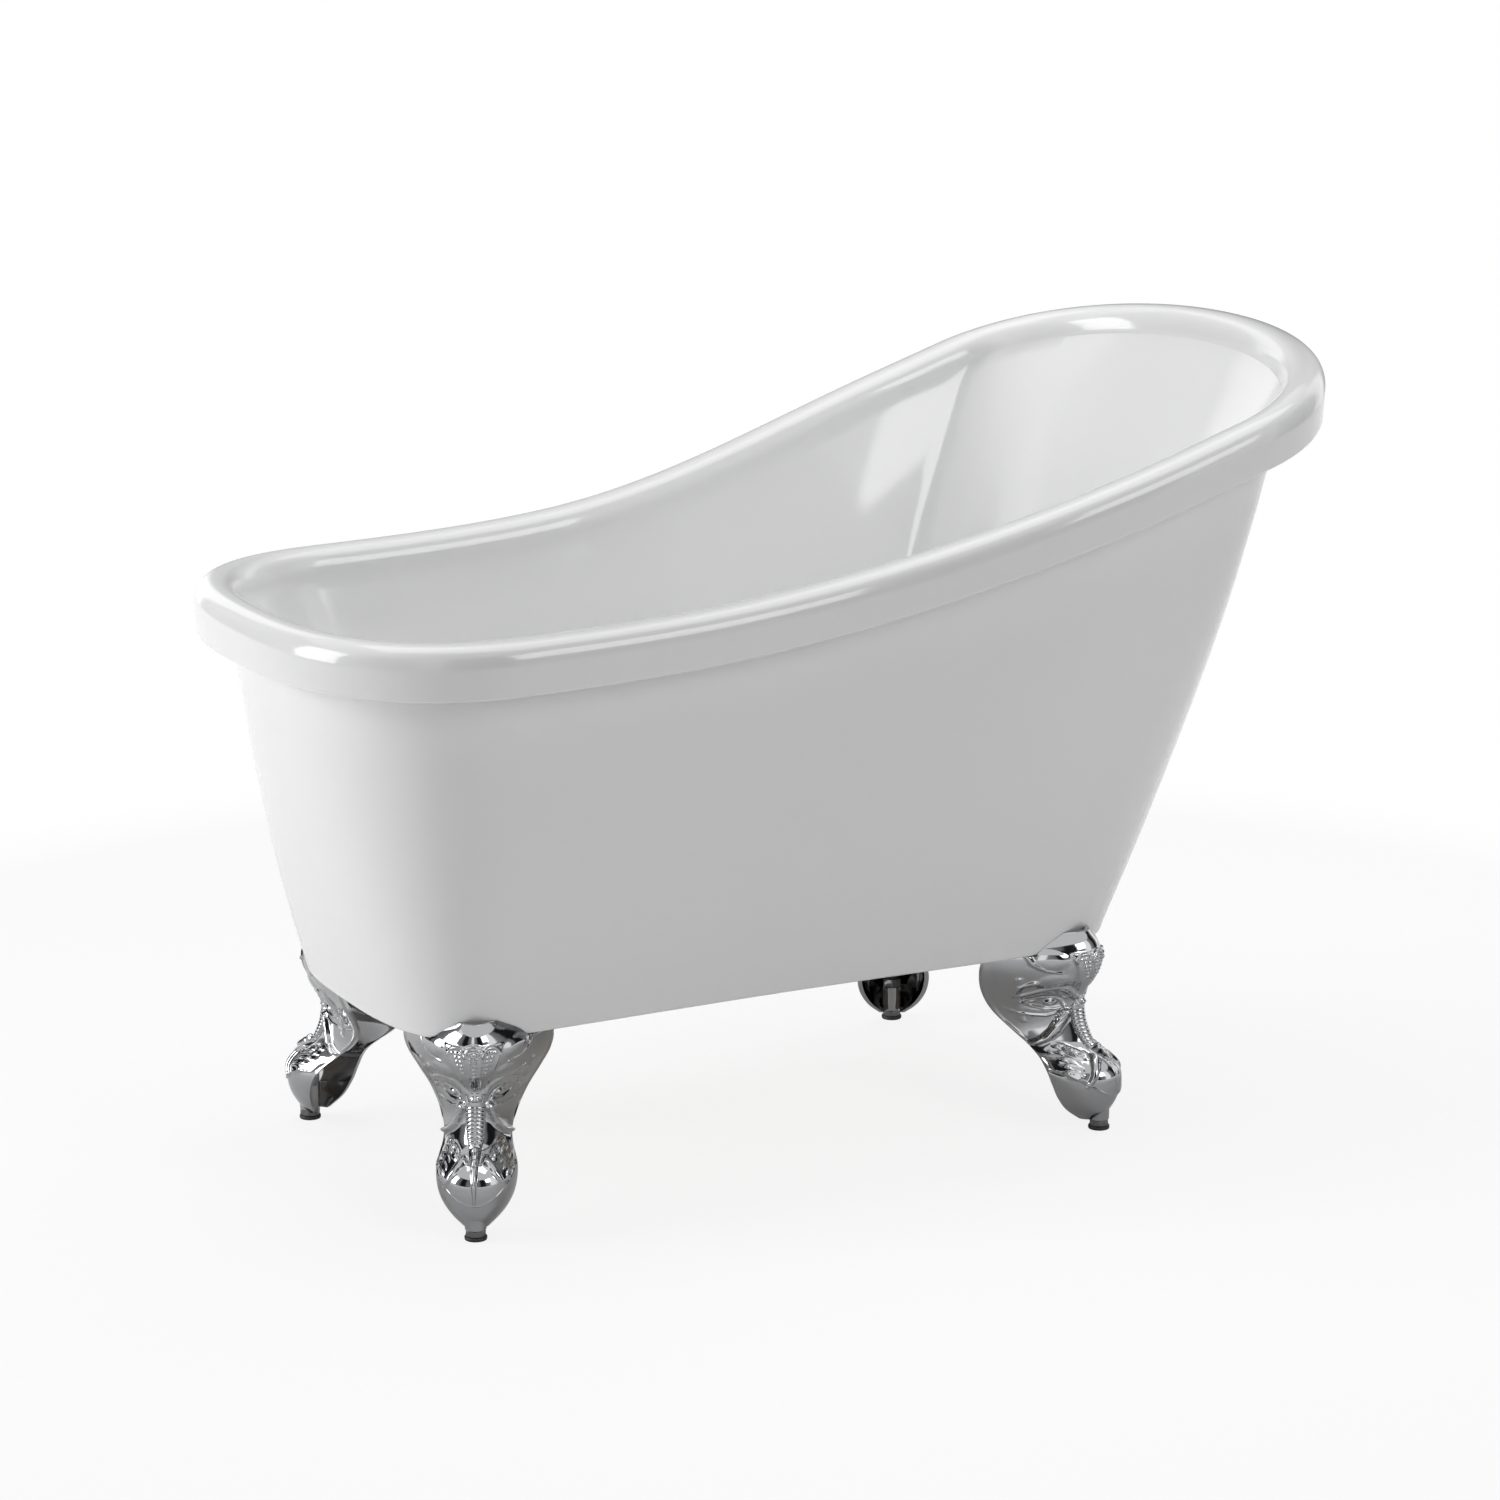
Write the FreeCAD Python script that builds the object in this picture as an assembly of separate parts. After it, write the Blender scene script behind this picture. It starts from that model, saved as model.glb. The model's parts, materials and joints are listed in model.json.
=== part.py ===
import FreeCAD, Part
import math
import os
from FreeCAD import Vector

os.makedirs("parts", exist_ok=True)

# A short slipper bath on four claw feet, in millimetres. +Z is up, +X runs toward the high head end,
# -Y is the near side, and the origin lies on the floor under the middle of the rim.

# ---------------------------------------------------------------- driving dimensions
# Rim
rim_length = 1050.0         # over the lips, toe end to head end
toe_width = 482.0           # over the lips on the parallel part near the toe end
head_width = 568.0          # over the lips at the widest, near the head end
toe_round = 167.0           # length of the rounded toe end of the roll's middle line
head_round = 155.0          # length of the rounded head end of the roll's middle line
toe_fullness = 2.6          # 2 is an ellipse, more is squarer
head_fullness = 2.05
widen_start = -130.0        # where the sides begin to widen
widen_end = 285.0           # where they are widest
rim_height = 538.0          # floor to the top of the roll on its level part
rim_slope = 0.33            # climb of the rim toward the head end
climb_middle = -58.0        # where the level rim bends into the climb
climb_bend = 95.0           # length scale of that bend
roll_outer = 21.0           # roll's middle line to the outside of the lip
roll_inner = 19.0           # roll's middle line to the inside of the roll
lip_drop = 47.0             # top of the roll to the bottom of the lip
roll_inner_drop = 27.0      # top of the roll to the foot of its inner side

# Body
body_clearance = 171.0      # floor to the underside of the body
body_toe_inset = 96.5       # rim's toe tip to the bottom of the body, along the bath
body_head_inset = 202.0     # rim's head tip to the bottom of the body
body_toe_side = 76.0        # side of the lip to the side of the body's bottom, near the toe end
body_head_side = 106.0      # the same near the head end
body_toe_round = 95.0
body_head_round = 180.0
body_toe_fullness = 3.0
body_head_fullness = 2.7
body_bow = 0.42             # how far the sides belly out between bottom and shoulder
shoulder_drop = 110.0       # top of the roll to the shoulder of the outer skin
shoulder_inset_side = 20.0  # roll's middle line to the skin at the shoulder
shoulder_inset_head = 55.0
tuck_drop = 32.0            # top of the roll to the tucked-in top edge of the skin
tuck_inset_side = 6.0
tuck_inset_head = 9.0
bottom_corner = 5.0         # rounding of the skin's bottom edge
flange_width = 14.0         # skin's turned-in bottom flange
skin_thickness = 4.0

# Basin
basin_thickness = 5.0
basin_toe_inset = 78.5      # body's toe end to where the toe wall would meet the floor without its rounding
basin_head_inset = 53.0     # the same at the head end
basin_toe_side = 37.0       # and at the sides
basin_head_side = 38.0
basin_rounding = 36.0       # flat floor kept clear of the walls
board_thickness = 16.0
board_hole_margin = 4.0     # board's hole round the waste's back nut
notch_margin = 2.0          # board's notch round the overflow pipe, at its sides
notch_toe_margin = 6.0      # and toward the toe end
notch_bend_margin = 8.0     # and under the bath, where the pipe begins to bend
floor_fall = 5.0            # fall of the floor from the head end to the waste
seat_gap = 0.3              # clearance between separately made pieces that sit on each other

# Waste
waste_inset = 88.0          # basin's toe end to the middle of the waste
waste_hole_radius = 26.0
recess_radius = 40.0
recess_depth = 3.0
flange_radius = 35.0
flange_thickness = 3.0
tail_radius = 22.0
tail_wall = 2.0
tail_length = 24.0          # flange's threaded tail below the flange
spider_height = 6.0         # bottom of the tail to its spider
spider_thickness = 4.0
spider_arm = 4.0
spider_boss_radius = 6.0
back_nut_radius = 38.0
back_nut_height = 8.0
body_radius = 30.0
body_depth = 28.0           # waste body below the flange's tail
port_height = 13.5          # bottom of the waste body to the middle of its side port
port_length = 12.0          # port's reach beyond the waste body
port_wall = 2.0
trap_thread_radius = 23.9   # G 1 1/2 male thread
trap_thread_length = 16.0
washer_thickness = 1.5
washer_margin = 2.0         # washers stay this far inside what presses them
plug_radius = 32.0
plug_thickness = 4.5
plug_dome = 170.0           # radius of the plug's crowned top
plug_socket = 2.0           # stem's reach into the plug
plug_seal_width = 6.5
plug_seal_thickness = 2.0
plug_travel = 9.0
stem_radius = 3.0
stem_spare = 1.0            # stem left in its cartridge when the plug is up
cartridge_radius = 7.0
cartridge_floor = 4.0
running_gap = 0.08          # radial clearance of parts that run in each other

# Overflow
overflow_share = 0.8        # how far up the toe wall's curve the overflow sits
overflow_hole_radius = 22.0
cover_radius = 33.0
cover_thickness = 4.0
cover_slots = 6             # round holes that the water runs through
cover_slot_radius = 4.0
cover_slot_ring = 15.0      # middle of the cover to the middle of each hole
cover_screw_radius = 2.5
cover_screw_head = 5.0      # radius of the screw's head
cover_screw_dome = 2.0      # height of that head
cover_screw_grip = 14.0     # screw's reach into the housing
cover_screw_gap = 0.6       # clearance round the screw in the cover
face_seal = 2.0             # thickness of the seal on each side of the wall
drum_depth = 29.0           # housing behind the wall
drum_margin = 5.0           # housing's edge inside the cover's
drum_wall = 8.0             # wide, because the seal presses on it
drum_back = 3.0
drum_outlet_wall = 2.5      # housing's back to its outlet's bore
post_radius = 6.0           # post that the cover's screw goes into
pipe_radius = 11.0
pipe_wall = 2.0
pipe_nut_length = 10.0
pipe_nut_wall = 4.0
pipe_skin_gap = 2.5         # pipe to the outer shell's flange
pipe_bend_height = 28.0     # last bend above the board

# Feet
toe_foot_inset = 41.0       # body's toe end to the toe levellers, along the bath
head_foot_inset = 73.0      # body's head end to the head levellers
toe_foot_side = 20.0        # body's side outward to the toe levellers
head_foot_side = 15.0
foot_turn = 28.0            # degrees each foot points off square, toward its end
casting_wall = 4.5
ledge_thickness = 6.0
ledge_reach = 72.0          # leveller line to the inner edge of the fixing ledge
bracket_thickness = 3.0
foot_bolt_radius = 4.0
foot_bolt_s = 60.0          # leveller line to the line of the two fixing bolts
foot_bolt_spacing = 36.0
foot_bolt_hex = 13.0
foot_washer_radius = 8.0
foot_washer = 1.6
bolt_head = 5.3
nut_height = 6.5
nut_recess_radius = 9.0     # hole in the board for each nut
bolt_gap = 0.4              # clearance round each bolt in its holes
bolt_end = 2.0              # bolt's reach beyond its nut
nut_recess_spare = 4.0      # recess above each nut
bracket_screw_radius = 2.4
screw_head = 2.4
screw_gap = 0.2             # clearance round each screw in the bracket
screw_bite = 0.05           # and in the board's hole
screw_length = 15.0
leveller_radius = 5.0       # M10 screw
leveller_hex = 17.0         # across flats
leveller_head = 5.8
leveller_boss_radius = 9.5
boss_top = 34.0
lock_nut_height = 8.0
pad_radius = 10.0
pad_thickness = 3.5
pin_radius = 2.5            # pad's pin in the leveller's head
pin_length = 3.6
leveller_travel = 12.0
leveller_spare = 3.0        # screw left in the lock nut when the leveller is right out

# The foot's form from the floor upward: height, half width, front and back reach measured outward from
# the leveller's axis, then how full the bent shell is at its sides and at its nose. It is open behind.
foot_levels = (
    (10.0, 13.0, 1.0, -14.0, 2.0, 2.0),
    (19.0, 24.0, 9.0, -21.0, 2.0, 2.0),
    (32.0, 33.0, 16.0, -26.0, 2.0, 2.0),
    (47.0, 36.0, 18.5, -31.0, 2.0, 2.0),
    (60.0, 34.0, 15.5, -38.0, 2.0, 2.0),
    (70.0, 30.5, 4.0, -48.0, 2.0, 1.7),
    (79.0, 30.0, -10.0, -60.0, 1.8, 1.4),
    (91.0, 32.5, -18.0, -76.0, 1.6, 1.2),
    (110.0, 42.0, -23.0, -93.0, 1.5, 1.1),
    (129.0, 54.0, -20.0, -97.0, 1.6, 1.1),
    (146.0, 63.0, -10.0, -95.0, 1.8, 1.1),
    (160.0, 66.0, -5.0, -92.0, 1.8, 1.1),
    (171.0, 64.0, -5.0, -88.0, 1.8, 1.1),
    (181.0, 52.0, -8.5, -76.0, 1.8, 1.1),
    (190.0, 34.0, -16.0, -60.0, 1.8, 1.1),
)

# Raised forms on the foot's face: height and radius down each ridge, and how far its middle is sunk in
trunk_levels = ((133, 9.0), (122, 8.5), (108, 7.5), (94, 6.5), (82, 5.6), (72, 5.0), (60, 4.6), (47, 3.6))
claw_levels = ((78, 4.0), (68, 5.5), (58, 5.0), (47, 4.0), (38, 2.6))
claw_side = 20.0
tusk_top = (117.0, 15.0)    # height and sideways place
tusk_tip = (86.0, 27.0)
tusk_radius = 4.2
tusk_stand = 9.0            # tip's stand-off from the cheek
eye_place = (131.0, 23.0)
eye_radius = 6.0

side_steps = 8              # sections along each straight side and each quarter end


# ---------------------------------------------------------------- outlines in plan
def superellipse(share, fullness):
    """One quarter from the tip, (1, 0), to the side, (0, 1)."""
    angle = share * math.pi / 2
    power = 2.0 / fullness
    return math.cos(angle) ** power if share < 1 else 0.0, math.sin(angle) ** power


def smooth_step(value):
    value = min(max(value, 0.0), 1.0)
    return value * value * (3 - 2 * value)


def egg_outline(toe_x, head_x, toe_end, head_end, toe_half, head_half, toe_power, head_power, widen):
    """Points round a closed outline from the head tip, by the far side and the toe tip, and back."""
    head_start = head_x - head_end
    toe_start = toe_x + toe_end
    far = []
    for step in range(side_steps + 1):
        along, across = superellipse(step / side_steps, head_power)
        far.append((head_start + head_end * along, across))
    for step in range(1, side_steps):
        far.append((head_start + (toe_start - head_start) * step / side_steps, 1.0))
    for step in range(side_steps, -1, -1):
        along, across = superellipse(step / side_steps, toe_power)
        far.append((toe_start - toe_end * along, across))
    points = []
    for x, share in far:
        half = toe_half + (head_half - toe_half) * smooth_step((x - widen[0]) / (widen[1] - widen[0]))
        points.append((x, half * share))
    near = [(x, -y) for x, y in reversed(points[1:-1])]
    return points + near


def outward(points):
    """Unit normals of a closed outline that runs anticlockwise."""
    normals = []
    count = len(points)
    for index in range(count):
        ahead = points[(index + 1) % count]
        behind = points[index - 1]
        run = (ahead[0] - behind[0], ahead[1] - behind[1])
        length = math.hypot(*run)
        normals.append((run[1] / length, -run[0] / length))
    return normals


def crest_height(x):
    """Height of the top of the roll: level at the toe end, then a steady climb."""
    return rim_height + rim_slope * climb_bend * math.log(1 + math.exp((x - climb_middle) / climb_bend))


roll_tip = rim_length / 2 - roll_outer
body_toe_x = body_toe_inset - rim_length / 2
body_head_x = rim_length / 2 - body_head_inset
body_toe_half = toe_width / 2 - body_toe_side
body_head_half = head_width / 2 - body_head_side
basin_toe_x = body_toe_x + basin_toe_inset
basin_head_x = body_head_x - basin_head_inset
basin_toe_half = body_toe_half - basin_toe_side
basin_head_half = body_head_half - basin_head_side
waste_x = basin_toe_x + waste_inset
widening = (widen_start, widen_end)
rim_line = egg_outline(-roll_tip, roll_tip, toe_round, head_round, toe_width / 2 - roll_outer,
                       head_width / 2 - roll_outer, toe_fullness, head_fullness, widening)
rim_normals = outward(rim_line)
body_line = egg_outline(body_toe_x, body_head_x, body_toe_round, body_head_round, body_toe_half,
                        body_head_half, body_toe_fullness, body_head_fullness, widening)
body_normals = outward(body_line)
basin_line = egg_outline(basin_toe_x, basin_head_x, body_toe_round, body_head_round, basin_toe_half,
                         basin_head_half, body_toe_fullness, body_head_fullness, widening)
basin_normals = outward(basin_line)
section_count = len(rim_line)

board_bottom = body_clearance + seat_gap
board_top = board_bottom + board_thickness
basin_under = board_top + seat_gap
recess_top = basin_under + basin_thickness
floor_low = recess_top + recess_depth


def headness(index):
    """1 at the head tip, fading to 0 along the sides."""
    return max(rim_normals[index][0], 0.0) ** 2


def toeness(index):
    """1 at the toe tip, fading to 0 along the sides."""
    return max(-rim_normals[index][0], 0.0) ** 2


def beside_rim(index, offset, drop):
    """A point on section index: offset outward from the roll's middle line, drop below its top."""
    x, y = rim_line[index]
    nx, ny = rim_normals[index]
    return Vector(x + nx * offset, y + ny * offset, crest_height(x) - drop)


def beside(line, normals, index, offset, z):
    x, y = line[index]
    nx, ny = normals[index]
    return Vector(x + nx * offset, y + ny * offset, z)


def floor_height(x, y):
    """Top of the basin floor, which falls evenly toward the waste."""
    reach = basin_head_x - waste_x
    return floor_low + floor_fall * math.hypot(x - waste_x, y) / reach


def line_edge(start, end):
    return Part.LineSegment(start, end).toShape()


def bezier_edge(*poles):
    curve = Part.BezierCurve()
    curve.setPoles(list(poles))
    return curve.toShape()


def spline_edge(points):
    curve = Part.BSplineCurve()
    steps = [step / (len(points) - 1) for step in range(len(points))]
    curve.interpolate(Points=points, Parameters=steps)
    return curve.toShape()


def ring_solid(sections):
    """A closed ring through section wires that all have the same edges."""
    ring = Part.makeLoft(sections, True, False, True)
    solid = Part.Solid(ring.Shells[0]) if not ring.Solids else ring.Solids[0]
    if solid.Volume < 0:
        solid.reverse()
    return solid


def closed_prism(points, low, high):
    """An upright slab on a smooth closed outline."""
    curve = Part.BSplineCurve()
    curve.interpolate(Points=[Vector(x, y, low) for x, y in points], PeriodicFlag=True)
    face = Part.Face(Part.Wire(curve.toShape()))
    return face.extrude(Vector(0, 0, high - low))


def cylinder(radius, low, high, x=0.0, y=0.0):
    return Part.makeCylinder(radius, high - low, Vector(x, y, low))


def ring(outer, inner, low, high, x=0.0, y=0.0):
    return cylinder(outer, low, high, x, y).cut(cylinder(inner, low - 1, high + 1, x, y))


def hexagon(across_flats, low, high, x=0.0, y=0.0):
    radius = across_flats / math.sqrt(3)
    corners = []
    for corner in range(7):
        angle = math.radians(60 * corner)
        corners.append(Vector(x + radius * math.cos(angle), y + radius * math.sin(angle), low))
    return Part.Face(Part.makePolygon(corners)).extrude(Vector(0, 0, high - low))


pieces = {}


# ---------------------------------------------------------------- inner shell: basin, roll and lip
def wall_poles(index, outset, floor_z):
    """Four Bezier poles of the basin wall, floor to roll, moved outward by outset."""
    x, y = basin_line[index]
    flat = beside(basin_line, basin_normals, index, -basin_rounding, floor_z)
    corner = beside(basin_line, basin_normals, index, outset, floor_z)
    top = beside_rim(index, outset - roll_inner, roll_inner_drop)
    foot = Vector(x, y, floor_height(x, y))
    climb = top - foot
    bend = 0.42 + 0.17 * toeness(index) + 0.18 * headness(index)
    hug = 0.42 - 0.14 * toeness(index) - 0.07 * headness(index)
    middle = Vector(foot.x + climb.x * hug, foot.y + climb.y * hug, foot.z + climb.z * bend)
    nx, ny = rim_normals[index]
    return flat, corner, middle + Vector(nx * outset, ny * outset, 0), top


def inner_section(index):
    x, y = basin_line[index]
    bearing = math.atan2(y, x - waste_x)
    aim = Vector(math.cos(bearing), math.sin(bearing), 0)
    centre = Vector(waste_x, 0, 0)
    up = Vector(0, 0, 1)
    hole_top = centre + aim * waste_hole_radius + up * recess_top
    hole_under = centre + aim * waste_hole_radius + up * basin_under
    recess_foot = centre + aim * recess_radius + up * recess_top
    recess_edge = centre + aim * (recess_radius + recess_depth) + up * floor_low
    flat, corner, middle, top = wall_poles(index, 0.0, floor_height(x, y))
    flat_b, corner_b, middle_b, top_b = wall_poles(index, basin_thickness, basin_under)
    wall = basin_thickness
    crest = beside_rim(index, 0, 0)
    crest_b = beside_rim(index, 0, wall)
    shoulder = beside_rim(index, roll_outer, lip_drop * 0.45)
    shoulder_b = beside_rim(index, roll_outer - wall, lip_drop * 0.45)
    lip = beside_rim(index, roll_outer - 1.5, lip_drop)
    lip_b = beside_rim(index, roll_outer - 1.5 - wall, lip_drop)
    edges = [
        line_edge(hole_top, recess_foot),
        line_edge(recess_foot, recess_edge),
        line_edge(recess_edge, flat),
        bezier_edge(flat, corner, middle, top),
        bezier_edge(top, beside_rim(index, -roll_inner - 1, 9), beside_rim(index, -12, 0), crest),
        bezier_edge(crest, beside_rim(index, 11, 0), beside_rim(index, roll_outer, 5), shoulder),
        line_edge(shoulder, lip),
        line_edge(lip, lip_b),
        line_edge(lip_b, shoulder_b),
        bezier_edge(shoulder_b, beside_rim(index, roll_outer - wall, 10), beside_rim(index, 9, wall), crest_b),
        bezier_edge(crest_b, beside_rim(index, -9, wall), beside_rim(index, wall - roll_inner, 13), top_b),
        bezier_edge(top_b, middle_b, corner_b, flat_b),
        line_edge(flat_b, hole_under),
        line_edge(hole_under, hole_top),
    ]
    return Part.Wire(edges)


basin = ring_solid([inner_section(index) for index in range(section_count)])

# The overflow's seat on the toe wall: a point on its curve and the wall's direction there
toe_index = side_steps * 3
toe_flat, toe_corner, toe_middle, toe_top = wall_poles(toe_index, 0.0, floor_height(*basin_line[toe_index]))
toe_curve = Part.BezierCurve()
toe_curve.setPoles([toe_flat, toe_corner, toe_middle, toe_top])
overflow_at = toe_curve.value(overflow_share)
wall_run = toe_curve.tangent(overflow_share)[0]
overflow_axis = Vector(-wall_run.z, 0, wall_run.x)
if overflow_axis.x > 0:
    overflow_axis = -overflow_axis


def overflow_drum(radius, start, end):
    """A cylinder square to the toe wall, from start to end behind the basin's face."""
    return Part.makeCylinder(radius, end - start, overflow_at + overflow_axis * start, overflow_axis)


basin = basin.cut(overflow_drum(overflow_hole_radius, -20, 20))
pieces["inner_shell"] = basin


# ---------------------------------------------------------------- outer shell
def skin_points(index, inset):
    """The skin's side from its bottom corner to its tucked-in top, moved inward by inset."""
    head = headness(index)
    shoulder_inset = shoulder_inset_side + (shoulder_inset_head - shoulder_inset_side) * head
    tuck_inset = tuck_inset_side + (tuck_inset_head - tuck_inset_side) * head
    foot = beside(body_line, body_normals, index, -inset, body_clearance + bottom_corner)
    shoulder = beside_rim(index, -shoulder_inset - inset, shoulder_drop)
    tuck = beside_rim(index, -tuck_inset - inset, tuck_drop)
    points = []
    for share in (0.0, 0.2, 0.4, 0.6, 0.8, 1.0):
        bowed = share + body_bow * share * (1 - share)
        level = foot + (shoulder - foot) * bowed
        points.append(Vector(level.x, level.y, foot.z + (shoulder.z - foot.z) * share))
    for share, lean in ((0.45, 0.40), (0.78, 0.76), (1.0, 1.0)):
        level = shoulder + (tuck - shoulder) * lean
        points.append(Vector(level.x, level.y, shoulder.z + (tuck.z - shoulder.z) * share))
    return points


def skin_section(index):
    outside = skin_points(index, 0.0)
    inside = skin_points(index, skin_thickness)
    inside[0].z = body_clearance + skin_thickness
    low = body_clearance
    corner = beside(body_line, body_normals, index, -bottom_corner, low)
    flange_low = beside(body_line, body_normals, index, -flange_width, low)
    flange_high = beside(body_line, body_normals, index, -flange_width, low + skin_thickness)
    edges = [
        line_edge(flange_low, corner),
        bezier_edge(corner, beside(body_line, body_normals, index, -0.6, low), outside[0]),
        spline_edge(outside),
        line_edge(outside[-1], inside[-1]),
        spline_edge(list(reversed(inside))),
        line_edge(inside[0], flange_high),
        line_edge(flange_high, flange_low),
    ]
    return Part.Wire(edges)


pieces["outer_shell"] = ring_solid([skin_section(index) for index in range(section_count)])

# ---------------------------------------------------------------- base board
def inset_line(line, normals, inset):
    return [(x - nx * inset, y - ny * inset) for (x, y), (nx, ny) in zip(line, normals)]


board_inset = flange_width + seat_gap
board = closed_prism(inset_line(body_line, body_normals, board_inset), board_bottom, board_top)
board = board.cut(cylinder(back_nut_radius + board_hole_margin, board_bottom - 1, board_top + 1, waste_x))


# ---------------------------------------------------------------- feet
def foot_level(z):
    """The foot's half width, front, back and two fullness values at height z."""
    for low, high in zip(foot_levels, foot_levels[1:]):
        if z <= high[0]:
            share = (z - low[0]) / (high[0] - low[0])
            return [a + (b - a) * share for a, b in zip(low[1:], high[1:])]
    return list(foot_levels[-1][1:])


def foot_front(z, side):
    """How far outward the foot's face lies at height z and sideways place side."""
    half, front, back, side_full, nose_full = foot_level(z)
    across = min(abs(side) / half, 1.0)
    return back + (front - back) * (1 - across ** side_full) ** (1 / nose_full)


def foot_curve(z, wall):
    """Points round the bent shell at height z, moved inward by wall, from one back edge to the other."""
    half, front, back, side_full, nose_full = foot_level(z)
    half -= wall
    front -= wall
    points = []
    for step in range(-6, 7):
        angle = math.radians(15 * step)
        across = math.copysign(abs(math.sin(angle)) ** (2 / side_full), step) if step else 0.0
        along = max(math.cos(angle), 0.0) ** (2 / nose_full) if abs(step) < 6 else 0.0
        points.append(Vector(back + (front - back) * along, half * across, z))
    return points


def foot_slice(z):
    outside = foot_curve(z, 0.0)
    inside = list(reversed(foot_curve(z, casting_wall)))
    edges = [
        spline_edge(outside),
        line_edge(outside[-1], inside[0]),
        spline_edge(inside),
        line_edge(inside[-1], outside[0]),
    ]
    return Part.Wire(edges)


def ridge(levels, side, sink):
    """A tapering bead that follows the foot's face downward at one sideways place."""
    rings = []
    for z, radius in levels:
        middle = Vector(foot_front(z, side) - radius * sink, side, z)
        rings.append(Part.Wire(Part.makeCircle(radius, middle, Vector(0, 0, 1))))
    return Part.makeLoft(rings, True, True)


def cone_between(start, end, start_radius, end_radius):
    run = end - start
    return Part.makeCone(start_radius, end_radius, run.Length, start, run)


leveller_bore = leveller_radius + running_gap
bracket_top = body_clearance - seat_gap
bracket_low = bracket_top - bracket_thickness
ledge_top = bracket_low - seat_gap
ledge_low = ledge_top - ledge_thickness
bolt_hole = foot_bolt_radius + bolt_gap
bolt_places = [(-foot_bolt_s, side * foot_bolt_spacing / 2) for side in (-1, 1)]


def make_foot():
    shell = Part.makeLoft([foot_slice(level[0]) for level in foot_levels], True, False)
    foot = shell
    foot = foot.fuse(ridge(trunk_levels, 0.0, 0.35))
    boss = cylinder(leveller_boss_radius, foot_levels[0][0], boss_top)
    foot = foot.fuse(boss)
    for side in (-1, 1):
        foot = foot.fuse(ridge(claw_levels, side * claw_side, 0.5))
        top = Vector(foot_front(*tusk_top) - tusk_radius, side * tusk_top[1], tusk_top[0])
        tip = Vector(foot_front(*tusk_tip) + tusk_stand, side * tusk_tip[1], tusk_tip[0])
        foot = foot.fuse(cone_between(top, tip, tusk_radius, 1.2))
        eye_z, eye_side = eye_place
        eye = Vector(foot_front(eye_z, eye_side) - eye_radius * 0.4, side * eye_side, eye_z)
        foot = foot.fuse(Part.makeSphere(eye_radius, eye))
    half, front, back, side_full, nose_full = foot_level(ledge_low)
    share = ((front + ledge_reach) / (front - back)) ** (1 / side_full)
    reach = (half - casting_wall / 2) * share
    edge = []
    for step in range(-5, 6):
        side = reach * step / 5
        edge.append(Vector(foot_front(ledge_low, side) - casting_wall * 0.7, side, ledge_low))
    edge.append(edge[0])
    foot = foot.fuse(Part.Face(Part.makePolygon(edge)).extrude(Vector(0, 0, ledge_thickness)))
    foot = foot.cut(cylinder(leveller_bore, 0, boss_top + 1))
    for x, y in bolt_places:
        foot = foot.cut(cylinder(bolt_hole, ledge_low - 1, ledge_top + 1, x, y))
    return foot.removeSplitter()


def body_block():
    """The tub's lower body, grown by the seat gap, to trim each foot to its corner."""
    grown = seat_gap + 0.1
    low = inset_line(body_line, body_normals, -grown)
    height = foot_levels[-1][0] + 10
    high = []
    for index in range(section_count):
        points = skin_points(index, -grown)
        share = (height - points[0].z) / (points[5].z - points[0].z)
        bowed = share + body_bow * share * (1 - share)
        place = points[0] + (points[5] - points[0]) * bowed
        high.append((place.x, place.y))
    wires = []
    for line, z in ((low, body_clearance - seat_gap), (low, body_clearance + bottom_corner), (high, height)):
        curve = Part.BSplineCurve()
        curve.interpolate(Points=[Vector(x, y, z) for x, y in line], PeriodicFlag=True)
        wires.append(Part.Wire(curve.toShape()))
    return Part.makeLoft(wires, True, True)


toe_foot_x = body_toe_x + toe_foot_inset
head_foot_x = body_head_x - head_foot_inset
toe_foot_y = body_toe_half + toe_foot_side
head_foot_y = body_head_half + head_foot_side
feet = {
    "toe_left": (toe_foot_x, -toe_foot_y, -90 - foot_turn),
    "toe_right": (toe_foot_x, toe_foot_y, 90 + foot_turn),
    "head_left": (head_foot_x, -head_foot_y, -90 + foot_turn),
    "head_right": (head_foot_x, head_foot_y, 90 - foot_turn),
}


def at_foot(shape, corner):
    """A copy of a shape made about the leveller's axis, stood at one corner of the bath."""
    x, y, turn = feet[corner]
    copy = shape.copy()
    copy.Placement = FreeCAD.Placement(Vector(x, y, 0), FreeCAD.Rotation(Vector(0, 0, 1), turn))
    return copy


bracket_outline = ((-36, 28), (-74, 44), (-106, 44), (-106, -44), (-74, -44), (-36, -28), (-36, 28))
screw_places = ((-80, 0), (-97, 32), (-97, -32))
bracket_face = Part.Face(Part.makePolygon([Vector(x, y, bracket_low) for x, y in bracket_outline]))
bracket = bracket_face.extrude(Vector(0, 0, bracket_thickness))
for x, y in bolt_places:
    bracket = bracket.cut(cylinder(bolt_hole, bracket_low - 1, bracket_top + 1, x, y))
for x, y in screw_places:
    screw_hole = bracket_screw_radius + screw_gap
    bracket = bracket.cut(cylinder(screw_hole, bracket_low - 1, bracket_top + 1, x, y))

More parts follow.
